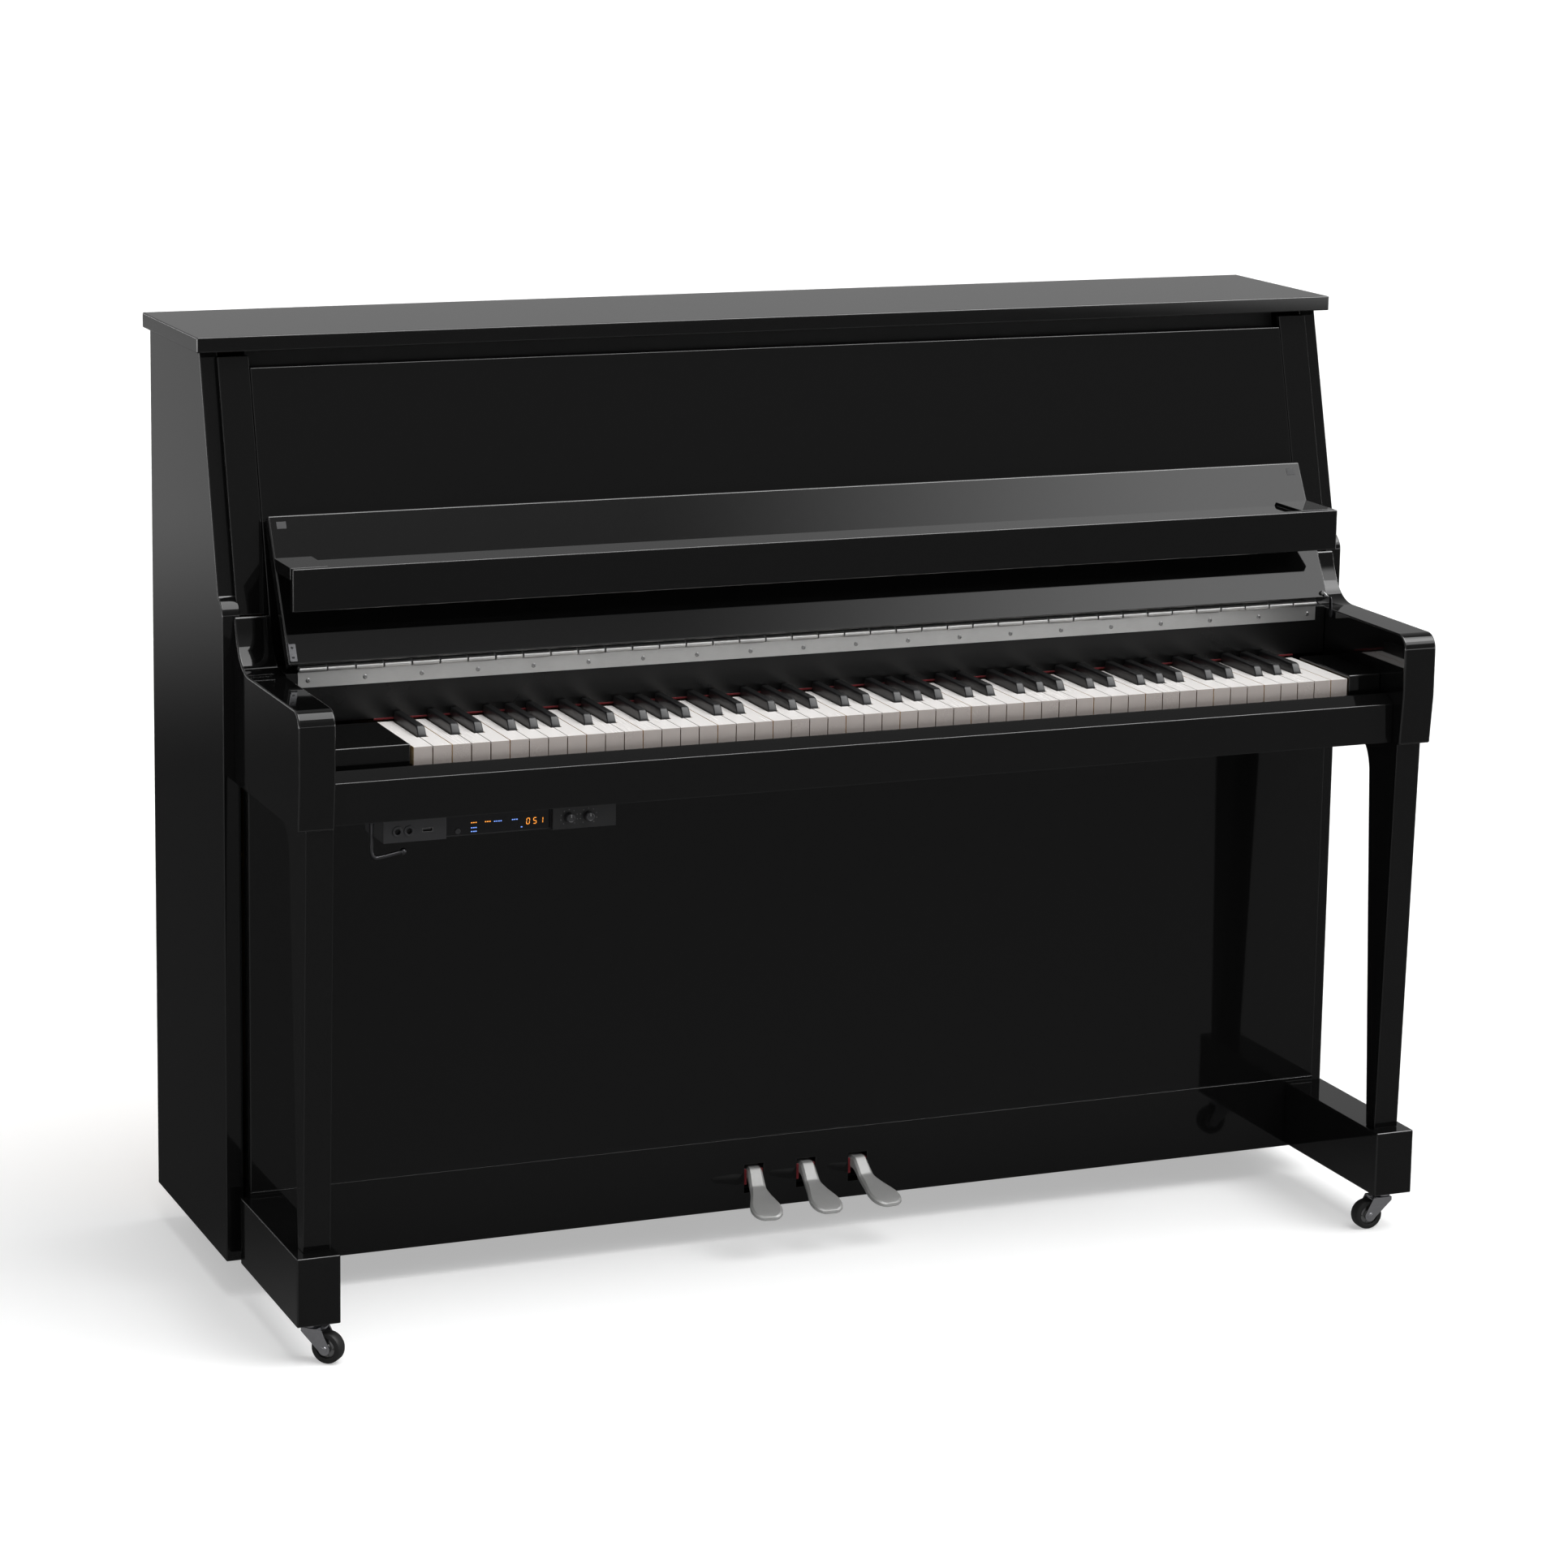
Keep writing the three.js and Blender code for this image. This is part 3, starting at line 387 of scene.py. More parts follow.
def turned(shape, degrees, centre=(0, 0), shift=(0, 0, 0)):
    """The shape turned about an upright axis through centre, then shifted."""
    c, s = math.cos(math.radians(degrees)), math.sin(math.radians(degrees))
    pivot = np.array([*centre, 0])
    points = (shape[0] - pivot) @ np.array([[c, s, 0], [-s, c, 0], [0, 0, 1]]) + pivot + shift
    return points, shape[1], shape[2]


# ---- pieces ----

def stand(name, body, mesh, slot, covers, bevel, segments, crease):
    """A piece made of mesh, with eased edges or plain creases, that rides on a body."""
    piece = bpy.data.objects.new(name, mesh)
    bpy.context.scene.collection.objects.link(piece)
    mesh.polygons.foreach_set("use_smooth", np.ones(len(mesh.polygons), bool))
    if bevel:
        ease = piece.modifiers.new("eased edges", "BEVEL")
        ease.width, ease.segments = bevel * MM, segments
        ease.limit_method, ease.angle_limit = "ANGLE", math.radians(crease)
        if mesh.materials[0] == ebony.made:
            mesh.materials.append(rubbed_edge.made)
            ease.material = len(mesh.materials) - 1
        even = piece.modifiers.new("even shading", "WEIGHTED_NORMAL")
        even.weight, even.keep_sharp = 60, False
    else:
        mesh.set_sharp_from_angle(angle=math.radians(crease))
    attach(piece, body)
    if covers:
        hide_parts(*covers)
    return piece


def put(name, body, shape, paints, slot, covers=(), bevel=0.0, segments=2, crease=32):
    """A new piece: its shape in millimetres becomes a mesh in metres whose faces point outwards."""
    points, faces, tints = shape
    mesh = bpy.data.meshes.new(name)
    mesh.from_pydata((np.asarray(points) * MM).tolist(), [], faces)
    mesh.polygons.foreach_set("material_index", tints)
    work = bmesh.new()
    work.from_mesh(mesh)
    bmesh.ops.remove_doubles(work, verts=work.verts, dist=2e-7)
    bmesh.ops.recalc_face_normals(work, faces=work.faces)
    work.to_mesh(mesh)
    work.free()
    for paint in paints:
        mesh.materials.append(paint.made)
    return stand(name, body, mesh, slot, covers, bevel, segments, crease)


def eased(name, paints, bevel, segments=2, choose=None, crease=32):
    """A copy of a CAD node with its corners merged, its flat faces whole and its edges rounded.
    Choose gives each face's paint from the faces' middles and normals."""
    work = bmesh.new()
    work.from_mesh(frame["nodes"][name].data)
    bmesh.ops.remove_doubles(work, verts=work.verts, dist=2e-6)
    bmesh.ops.dissolve_limit(work, angle_limit=math.radians(0.4), verts=work.verts, edges=work.edges)
    mesh = bpy.data.meshes.new(name + "_eased")
    work.to_mesh(mesh)
    work.free()
    mesh.materials.clear()
    for paint in paints:
        mesh.materials.append(paint.made)
    count = len(mesh.polygons)
    tints = np.zeros(count, int)
    if choose:
        middles, normals = np.empty(count * 3), np.empty(count * 3)
        mesh.polygons.foreach_get("center", middles)
        mesh.polygons.foreach_get("normal", normals)
        tints = choose(middles.reshape(-1, 3) / MM, normals.reshape(-1, 3))
    mesh.polygons.foreach_set("material_index", tints)
    return stand(name + "_eased", BODY_OF[name], mesh, SLOT_OF[name], [name], bevel, segments, crease)


# ---- case ----
SLOPE_FOOT = (-10.0, 859.0)  # y and z of the foot of the sides' leaning front edge
SLOPE = 0.267


def slope_y(z):
    """How far forward the leaning front edge of the sides is at a height."""
    return SLOPE_FOOT[0] + (z - SLOPE_FOOT[1]) * SLOPE


def shaped_board(name, outline, bevel):
    """A board whose outline, in Y and Z, is drawn finer than its CAD node and keeps that node's width."""
    low, high = corners(name)
    put(name + "_board", BODY_OF[name], plank(X, outline, low[X], high[X]), [ebony], SLOT_OF[name], [name],
        bevel, 3, 28)


side_low, side_high = corners("side_panel_left")
side_outline = np.vstack([
    [(side_high[Y], side_low[Z]), (side_high[Y], side_high[Z]), (slope_y(side_high[Z]), side_high[Z])],
    bend(SLOPE_FOOT, (-28, 851), (-28, 838), 18), [(side_low[Y], side_low[Z])]])
arm_outline = np.vstack([
    [(-28.3, 638), (-28.3, 838)], bend((-32.3, 838), (-46.3, 777.5), (-90.3, 777.5), 30),
    arc((-276, 758.5), 19, 90, 180, 22), [(-295, 700), (-289, 638)]])
leg_outline = np.vstack([
    [(-285, 637.7), (-268, 133.6), (-247, 133.6), (-228, 439.7)],
    bend((-219, 589.7), (-216, 625.7), (-182, 637.7), 20)])
stile_top, arm_top = corners("stile_left")[1][Z], corners("arm_left")[1][Z]
stile_outline = [(slope_y(z) + ahead, z) for z, ahead in (
    (arm_top + 0.3, -9.0), (arm_top + 0.3, -0.3), (stile_top, -0.3), (stile_top, -9.0))]
for hand in ("left", "right"):
    shaped_board("side_panel_" + hand, side_outline, 1.4)
    shaped_board("arm_" + hand, arm_outline, 2.0)
    shaped_board("leg_" + hand, leg_outline, 1.6)
    shaped_board("stile_" + hand, stile_outline, 1.1)
    eased("toe_block_" + hand, [ebony], 1.6)
    eased("key_block_" + hand, [ebony], 1.5)
for name, bevel in (("upper_panel", 1.3), ("lower_panel", 1.2), ("bottom_rail", 0.4), ("top_lid", 1.6),
                    ("keyslip", 0.6), ("fallboard", 2.0), ("music_shelf", 0.8), ("shelf_lip", 1.3)):
    eased(name, [ebony], bevel, 3)
eased("nameboard", [satin_ebony], 0.9, 3)
eased("keybed", [black_wood], 1.2)
# A stop behind the top of the upper panel, painted nearly black as painted shade so the gap under the lid
# reads dark.
panel_low, panel_high = corners("upper_panel")
stop_foot, stop_top = panel_high[Z] - 22, corners("top_lid")[0][Z] - 0.8
stop_outline = [(slope_y(z) + behind, z) for behind, z in (
    (11, stop_foot), (11, stop_top), (23, stop_top), (23, stop_foot))]
put("panel_stop", "case", plank(X, stop_outline, panel_low[X] - 0.5, panel_high[X] + 0.5), [painted_recess_shade],
    "black_wood", bevel=0.8)
eased("bottom_board", [black_wood], 1.0)


# ---- continuous hinges ----

def knuckles(half, count, odd, radius, y, z):
    """Every second barrel of a hinge from -half to half: short turned rolls with eased ends."""
    ends = np.linspace(-half, half, count + 1)
    rolls = [lathe([(a + 0.8, radius - 0.4), (a + 1.2, radius), (b - 1.2, radius), (b - 0.8, radius - 0.4)],
                   (0, y, z), X, 16) for a, b in zip(ends[odd:-1:2], ends[odd + 1::2])]
    return join(*rolls)


SCREW = [(0.25, 0), (0.25, 0.9), (0.95, 1.15), (0.8, 2.0), (0.3, 2.8), (0.0, 2.9)]


def screws(spots, facing, scale=1.0, tint=1):
    """Domed screw heads with a sunk middle, at spots; facing is the axis they face, and its sign."""
    axis, sign = facing
    head = lathe([(sign * a * scale, r * scale) for a, r in SCREW], (0, 0, 0), axis, 12, tint=tint)
    return scatter(head, spots)


# ---- keyboard cover and music ledge ----
hinge_low, hinge_high = corners("fallboard_hinge_case_leaf")
name_low = corners("nameboard")[0]
FALL_AXIS = (-96.288, 784.0)  # y and z of the cover's hinge pin
LEAN = math.radians(28.6)  # how far the open cover leans back
HINGE_RADIUS = 3.0
KNUCKLES = 39


def on_fall(u, n):
    """The point (y, z) that lies u up the open cover from its hinge axis and n in front of it."""
    return (FALL_AXIS[0] + u * math.sin(LEAN) - n * math.cos(LEAN),
            FALL_AXIS[1] + u * math.cos(LEAN) + n * math.sin(LEAN))


def on_cover(x0, x1, u0, u1, n0, n1, tint=0):
    """A flat block on the cover, between two values of x, u and n."""
    return plank(X, [on_fall(u0, n0), on_fall(u1, n0), on_fall(u1, n1), on_fall(u0, n1)], x0, x1, tint)


half = hinge_high[X]
plate_top = FALL_AXIS[1] - HINGE_RADIUS - 0.5
plate_front, plate_back = name_low[Y] - 1.6, name_low[Y] - 0.3
barrel_ends = np.linspace(-half, half, KNUCKLES + 1)
tabs = [slab((a + 0.9, plate_front, plate_top - 0.5), (b - 0.9, plate_back, FALL_AXIS[1]))
        for a, b in zip(barrel_ends[:-1:2], barrel_ends[1::2])]
plate = slab((-half, plate_front, hinge_low[Z]), (half, plate_back, plate_top))
screw_x = np.linspace(-half + 12, half - 12, 20)
case_screws = screws([(x, plate_front - 0.1, hinge_low[Z] + 8.5) for x in screw_x], (Y, -1))
put("fallboard_hinge_plate", "case",
    join(plate, *tabs, knuckles(half, KNUCKLES, 0, HINGE_RADIUS, *FALL_AXIS), case_screws),
    [nickel, steel], "satin_nickel", ["fallboard_hinge_case_leaf"], crease=30)
put("fallboard_hinge_wing", "fallboard",
    join(on_cover(-half, half, 2.0, 3.3, -6.4, 0.5),
         knuckles(half, KNUCKLES, 1, HINGE_RADIUS, *FALL_AXIS)),
    [nickel], "satin_nickel", ["fallboard_hinge_board_leaf"], crease=30)

fall_half, fall_face, fall_length = corners("fallboard")[1][X], 10.0, 188.0
for side, hand in ((-1, "left"), (1, "right")):
    x0, x1 = sorted((side * (fall_half - 21), side * (fall_half - 9)))
    put("cover_buffer_" + hand, "fallboard",
        on_cover(x0, x1, fall_length - 17, fall_length - 8, fall_face - 0.6, fall_face + 0.3), [plastic],
        "black_plastic", bevel=0.25, segments=3)

# The damper's bracket at the bass end, and its lever and pin at the treble end.
bracket, bracket_face = (7, 29), fall_face + 1.3
put("damper_bracket", "fallboard",
    join(on_cover(0.4 - fall_half, 10.5 - fall_half, *bracket, fall_face - 0.2, bracket_face),
         on_cover(0.4 - fall_half, 1.9 - fall_half, *bracket, fall_face + 1.2, fall_face + 4.5)),
    [dark_steel], "steel", bevel=0.4, crease=30)
bracket_spots = [(5.8 - fall_half, *on_fall(u, bracket_face)) for u in (12, 24)]
put("damper_bracket_screws", "fallboard", screws(bracket_spots, (Y, -1), 0.6, 0), [dark_steel], "steel")
lever_top = (fall_half - 8, *on_fall(10, fall_face + 2.2))
lever_tip = (fall_half - 1.5, FALL_AXIS[0] - 9.5, FALL_AXIS[1] + 9.5)
lever_path = smooth([lever_top, np.add(lever_top, (3, -1.2, -1.2)), np.add(lever_tip, (-2, 0.2, 1.4)),
                     lever_tip], 16)
put("damper_lever", "fallboard", join(
    tube(lever_path, 1.3, 10),
    lathe([(-1.5, 0), (-1.4, 2.4), (0.4, 2.8), (1.6, 2.4), (1.7, 0)], lever_top, Y, 16)),
    [steel], "steel", crease=40)
# The link that the lever works is a thin strap with round ends, flat against the arm.
link_top, link_foot = np.add(lever_tip[1:], (-2.6, -2.4)), np.array([-109.5, 771.5])
put("damper_link", "case", plank(
    X, np.vstack([arc(link_top, 2.4, 8, 172, 12), arc(link_foot, 4.2, 172, 368, 18)]),
    fall_half + 0.4, fall_half + 1.6), [dark_steel], "steel", bevel=0.2, crease=40)


# ---- lid hinge ----
lid_low, lid_high = corners("lid_hinge_lid_leaf")
leaf_low, leaf_high = corners("lid_hinge_case_leaf")
frame_low, frame_high = corners("back_frame")
LID_AXIS, LID_RADIUS, LEAF_EDGE, LID_KNUCKLES = (292.0, 1138.0), 2.4, 2.9, 33
lid_half = leaf_high[X]
lid_screws = np.linspace(-lid_half + 20, lid_half - 20, 15)
put("lid_hinge_plate", "case",
    join(slab((-lid_half, frame_high[Y] + 0.3, leaf_low[Z]),
              (lid_half, frame_high[Y] + 1.6, LID_AXIS[1] - LEAF_EDGE)),
         knuckles(lid_half, LID_KNUCKLES, 0, LID_RADIUS, *LID_AXIS),
         screws([(x, frame_high[Y] + 1.7, leaf_low[Z] + 9) for x in lid_screws], (Y, 1), 0.9)),
    [nickel, steel], "satin_nickel", ["lid_hinge_case_leaf"], crease=30)
put("lid_hinge_wing", "lid",
    join(slab((-lid_half, lid_low[Y], lid_high[Z] - 1.3), (lid_half, LID_AXIS[0] - LEAF_EDGE, lid_high[Z])),
         knuckles(lid_half, LID_KNUCKLES, 1, LID_RADIUS, *LID_AXIS),
         screws([(x, lid_low[Y] + 9, lid_high[Z] - 1.4) for x in lid_screws], (Z, -1), 0.9)),
    [nickel, steel], "satin_nickel", ["lid_hinge_lid_leaf"], crease=30)


# ---- keys ----
KEYS, WHITE_KEYS = 88, 52
NOTES = "A A# B C C# D D# E F F# G G#".split()
SHIFT = {"C#": -2.6, "D#": 2.6, "F#": -3.4, "G#": 0.0, "A#": 3.4}
KEY_GAP = 0.96
first_low, first_high = corners("key_a0")
sharp_low, sharp_high = corners("key_a_sharp_0")
white_high = corners("white_keys")[1]
keyboard_left = first_low[X] - KEY_GAP / 2
keyboard_right = white_high[X] + KEY_GAP / 2
pitch = (keyboard_right - keyboard_left) / WHITE_KEYS
white_top = first_high[Z]
black_top = corners("black_keys")[1][Z]
key_front, cap_back = first_low[Y], name_low[Y] - 4
key_bottom = first_low[Z]
black_front, tail_end, tail_top = sharp_low[Y], sharp_high[Y], sharp_low[Z] + 18.6

note_names = [NOTES[i % len(NOTES)] for i in range(KEYS)]
white_number = np.cumsum(["#" not in note for note in note_names]) - 1
middles = np.array([keyboard_left + (n + 1 if "#" in note else n + 0.5) * pitch + SHIFT.get(note, 0)
                    for n, note in zip(white_number, note_names)])
is_black = np.array(["#" in note for note in note_names])


def key_paint(middle, normal):
    """Cap on top, side by the flank, grey front face, flank and front both painted darker as shade, and bare
    wood behind the cap and below.
    """
    tint = np.where(np.abs(normal[:, X]) > 0.7, 1, 0)
    tint = np.where((middle[:, Y] > cap_back - 0.2) | (normal[:, Z] < -0.7), 2, tint)
    return np.where((normal[:, Y] < -0.7) & (middle[:, Y] < key_front + 1), 3, tint)


for name in ("white_keys", "key_a0", "key_b0", "key_c1", "key_d1", "key_e1"):
    eased(name, [key_top, key_side, spruce_body, painted_shade_key_face], 0.55, 2, key_paint)


def sharp_key():
    """A sharp about x = 0: rings along Y whose top slopes up at the front, narrower above than below,
    on a plain wooden stick."""
    along = np.array([  # y behind the front, height of the top
        (0.0, white_top - 2.2), (0.15, white_top + 0.2), (1.6, white_top + 2.9), (5.6, black_top - 3.0),
        (7.2, black_top - 1.0), (9.2, black_top - 0.15), (14, black_top),
        (cap_back - black_front - 0.4, black_top), (cap_back - black_front, black_top - 0.4)])
    base, full = 5.7, 15.0
    top = along[:, 1]
    wide = (base - 0.75 * np.clip((top - tail_top) / full, 0, 1))[:, None]
    drop = np.array([2.6, 0.9, 0.15, 0, 0, 0.15, 0.9, 2.6])
    inset = np.array([0.0, 0.15, 0.75, 1.7, 1.7, 0.75, 0.15, 0.0])
    sign = np.array([-1, -1, -1, -1, 1, 1, 1, 1])
    one = np.ones_like(wide)
    foot = (tail_top - 0.5) * one
    x = np.hstack([-base * one, sign * (wide - inset), base * one])
    z = np.hstack([foot, np.maximum(top[:, None] - drop, tail_top - 0.4), foot])
    y = np.broadcast_to(black_front + along[:, :1], x.shape)
    stick = slab((-base + 0.1, black_front + 0.6, key_bottom), (base - 0.1, tail_end, tail_top), 1)
    return join(skin(np.stack([x, y, z], -1)), stick)


sharp_shape = sharp_key()
set_low = corners("black_keys")[0]
loose_sharps = ("key_a_sharp_0", "key_c_sharp_1", "key_d_sharp_1")
black_middles = middles[is_black]
for name, middle in zip(loose_sharps, black_middles):
    put(name + "_shaped", BODY_OF[name], scatter(sharp_shape, [(middle, 0, 0)]), [sharp, spruce_body],
        "sharp_black", [name], crease=50)
set_middles = black_middles[len(loose_sharps):]
set_spots = [(middle, 0, 0) for middle in set_middles]
put("black_keys_shaped", "black_key_set", join(
    scatter(sharp_shape, set_spots),
    scatter(slab((-4, tail_end - 9, set_low[Z] + 1), (4, tail_end, key_bottom + 2), 1), set_spots),
    slab((set_middles[0], tail_end - 9, set_low[Z]), (set_middles[-1], tail_end, set_low[Z] + 6), 1)),
    [sharp, spruce_body], "sharp_black", ["black_keys"], crease=50)
eased("key_frame", [beech_x], 0.8)

# Felt under the nameboard: its front edge is cut straight but furs a little.
felt_x = np.linspace(keyboard_left - 2, keyboard_right + 2, 400)
fur = 0.25 * np.sin(felt_x * 0.9) + 0.2 * np.sin(felt_x * 2.3 + 1)
felt_ring = np.array([(-0.9, 0.0), (-1.2, 0.7), (-1.2, 1.5), (-0.9, 2.1), (14, 2.1), (14, 0.0)])
felt_rows = np.stack(np.broadcast_arrays(
    felt_x[:, None], name_low[Y] + felt_ring[:, 0] + fur[:, None] * (felt_ring[:, 0] < 0),
    white_high[Z] + 0.05 + felt_ring[:, 1]), -1)
put("nameboard_felt", "case", skin(felt_rows), [red_felt], "red_felt", crease=60)
put("nameboard_batten", "case", slab((felt_x[0], name_low[Y] - 0.4, white_high[Z] + 1.9),
    (felt_x[-1], name_low[Y] + 14, name_low[Z] + 0.3)), [satin_ebony], SLOT_OF["nameboard"], bevel=0.3)


# ---- control unit ----
unit_low, unit_high = corners("control_unit")
unit_middle, face = (unit_low[Z] + unit_high[Z]) / 2, unit_low[Y]
screen_left, screen_right, screen_y = unit_low[X] + 76, unit_low[X] + 206, face + 8
eased("control_unit", [plastic, unit_black], 0.6, 2, lambda spots, normals: spots[:, X] > screen_left)
JACKS, SOCKET_Z = (unit_low[X] + 17, unit_low[X] + 31), unit_middle - 1
jack_ring = [(face - 1.4, 4.6), (face - 1.6, 5.2), (face - 1.2, 6.3), (face + 0.2, 6.4), (face + 0.2, 3.35),
             (face - 1.2, 3.5)]
put("jack_rings", "case", join(*[lathe(jack_ring, (x, 0, SOCKET_Z), Y, 28, True) for x in JACKS]),
    [plastic], "black_plastic", crease=40)
# The jack wells are painted nearly black, as painted shade inside the sockets.
jack_well = [(face + 3, 0), (face + 3, 3.3), (face + 12, 3.3), (face + 12, 0)]
put("jack_wells", "case", join(*[lathe(jack_well, (x, 0, SOCKET_Z), Y, 20) for x in JACKS]), [painted_recess_shade],
    "black_plastic")


def collar(low, high, wall, y0, y1):
    """A thin rectangular sleeve: the ring between two oblongs, carried from y0 to y1."""
    (x0, z0), (x1, z1) = low, high
    return skin([[(x0 - grow, y, z0 - grow), (x1 + grow, y, z0 - grow), (x1 + grow, y, z1 + grow),
                  (x0 - grow, y, z1 + grow)] for y, grow in ((y0, wall), (y0, 0), (y1, 0), (y1, wall))], True)


usb_x0, usb_z0 = unit_low[X] + 47, unit_middle - 3.4
put("usb_sleeve", "case", join(
    collar((usb_x0 + 0.5, usb_z0 + 0.5), (usb_x0 + 11.9, usb_z0 + 4.3), 0.45, face - 0.2, face + 10),
    slab((usb_x0 + 1.8, face + 1, usb_z0 + 2.2), (usb_x0 + 10.6, face + 9, usb_z0 + 3.6), 1)),
    [steel, plastic], "steel", crease=30)

put("screen_window", "case", slab((screen_left + 1.2, screen_y - 0.7, unit_low[Z] + 1.6),
    (screen_right - 1.2, screen_y - 0.05, unit_high[Z] - 1.4)), [glass], "screen_glass", bevel=0.25)


def bars(spots, width, height):
    """Small lit oblongs on the screen at (x, z) spots."""
    y = screen_y - 1.0
    return scatter(slab((-width / 2, y, -height / 2), (width / 2, y + 0.35, height / 2)),
                   [(x, 0, z) for x, z in spots])


def dashes(rows):
    """Rows of lit dashes, each given by the x of its first dash, its z and its number of dashes."""
    return bars([(x + k * DASH_STEP, z) for x, z, count in rows for k in range(count)], 1.7, 1.1)


def figure(x, z, lit_flat, lit_upright):
    """One seven-segment figure about (x, z): flat segments by level, and uprights by side and level."""
    flat = bars([(x + FIGURE_LEAN * level, z + FIGURE_HALF * level) for level in lit_flat], 2.9, STROKE)
    upright = bars([(x + 1.75 * side + FIGURE_LEAN * level / 2, z + FIGURE_HALF / 2 * level)
                    for side, level in lit_upright], STROKE, 2.6)
    return join(flat, upright)


DASH_STEP, STROKE, FIGURE_LEAN, FIGURE_HALF, FIGURE_Z = 2.6, 0.75, 0.35, 3.4, 621.8
AMBER_ROWS = ((-516, 625.0, 3), (-499, 625.0, 3))
BLUE_ROWS = ((-516, 619.0, 3), (-516, 614.6, 3), (-488, 624.6, 4), (-466, 625.0, 3), (-455, 615.4, 1))
put("screen_lamps_amber", "case", join(
    dashes(AMBER_ROWS),
    figure(-447.0, FIGURE_Z, (-1, 1), ((-1, 1), (1, 1), (-1, -1), (1, -1))),
    figure(-438.6, FIGURE_Z, (-1, 0, 1), ((-1, 1), (1, -1))),
    bars([(-428.8, 623.5), (-429.0, 620.1)], STROKE, 2.6)), [amber], "lamp")
put("screen_lamps_blue", "case", dashes(BLUE_ROWS), [blue], "lamp")

knob_profile = [(0.0, 0), (0.0, 4.2), (-0.4, 5.2), (-0.4, 5.9), (-6.6, 5.6), (-7.5, 5.0), (-7.8, 4.0),
                (-7.3, 3.4), (-7.2, 0)]
dial_spots = []
for name in ("volume_knob", "level_knob"):
    low, high = corners(name)
    x, _, z = (low + high) / 2
    cap = lathe(knob_profile, (x, high[Y], z), Y, 72, flutes=24, depth=0.05)
    line = slab((x - 0.4, low[Y] + 0.15, z + 1.2), (x + 0.4, low[Y] + 1.2, z + 4.6), 1)
    put(name + "_cap", BODY_OF[name], join(cap, line), [plastic, mark], "black_plastic", [name], crease=28)
    dial_spots += [(x + 10.5 * math.sin(t), face, unit_middle + 9.3 * math.cos(t))
                   for t in np.radians(np.linspace(-140, 140, 9))]
put("dial_marks", "case", scatter(lathe([(0.1, 0), (0.1, 0.45), (-0.2, 0.45), (-0.25, 0)], (0, 0, 0), Y, 10),
    dial_spots), [mark], "black_plastic")
button_low, button_high = corners("power_button")
button_centre = (button_low + button_high) / 2 * (1, 0, 1)
put("power_button_cap", "power_button_body", lathe(
    [(button_high[Y], 0), (button_high[Y], 3.4), (button_low[Y] + 0.6, 3.4), (button_low[Y] + 0.15, 3.1),
     (button_low[Y], 2.6), (button_low[Y] + 0.35, 1.2), (button_low[Y] + 0.4, 0)], button_centre, Y, 32),
    [plastic], "black_plastic", ["power_button"], crease=50)

hang_low, hang_high = corners("headphone_hanger")
hang_x, hang_y, hang_top = hang_low[X] + 10, (hang_low[Y] + hang_high[Y]) / 2, unit_high[Z]
foot = hang_top - 45.7
hang_path = smooth([(hang_x, hang_y, hang_top - 1), (hang_x, hang_y, (hang_top + foot) / 2),
                    (hang_x, hang_y, foot + 7), (hang_x + 3, hang_y, foot + 1.5), (hang_x + 9, hang_y, foot),
                    (hang_x + 38, hang_y, foot + 5)], 48)
ball = [(-4.2, 0.3), (-3.9, 1.7), (-2.9, 3.1), (-1.3, 4.05), (0.5, 4.2), (2.2, 3.6), (3.5, 2.3), (4.2, 0.3)]
flange = [(hang_top - drop, radius) for drop, radius in (
    (0, 9.6), (1.4, 9.8), (2.0, 9.0), (2.6, 4.4), (6, 3.4), (7, 0))]
put("hanger_hook", "case", join(
    tube(hang_path, 2.5, 14), lathe(ball, hang_path[-1], X, 20), lathe(flange, (hang_x, hang_y, 0), Z, 32),
    screws([(hang_x + away, hang_y, hang_top - 2.0) for away in (-6.6, 6.6)], (Z, -1), 0.6, 0)),
    [dark_steel], "steel", ["headphone_hanger"], crease=35)

# A small catch for the lower panel, under the middle of the keybed.
bed_low = corners("keybed")[0]
put("panel_catch", "case", join(
    slab((-11, bed_low[Y] + 6, bed_low[Z] - 2.2), (11, bed_low[Y] + 22, bed_low[Z] + 0.2)),
    slab((-5, bed_low[Y] + 2, bed_low[Z] - 4.6), (5, bed_low[Y] + 7, bed_low[Z] - 1.6))),
    [plastic], "black_plastic", bevel=0.6)


# ---- pedals ----
rail_low, rail_high = corners("bottom_rail")
PEDAL_FRONT = rail_low[Y]
PEDAL_PIN = (40.0, 88.0)  # y and z
PEDALS = (("left", -71, -8), ("middle", 0, 0), ("right", 71, 8))  # x, and degrees of splay
PEDAL_LINE = [  # y, top, bottom, half width, from inside the case to the tip
    (-36, 99, 84, 9.4), (-50, 99, 83, 9.5), (-54, 98.4, 81.5, 9.5), (-57, 95.8, 79.8, 9.6),
    (-62, 90.2, 76.4, 9.8), (-67.5, 84, 72.4, 10.1), (-71, 80.6, 70.3, 10.4), (-76, 78.6, 68.4, 11.2),
    (-81, 77.1, 67.0, 12.3),
    (-88, 75, 65.6, 13.9), (-98, 72.3, 63.7, 16.9), (-107, 70, 62.0, 19.2), (-115, 67.9, 60.4, 19.9),
    (-122, 65.9, 59.0, 19.0), (-127.5, 64.1, 57.9, 16.8), (-131.5, 62.4, 56.9, 13.0),
    (-133.5, 61.2, 56.5, 9.2), (-134, 60.0, 57.2, 7.0)]


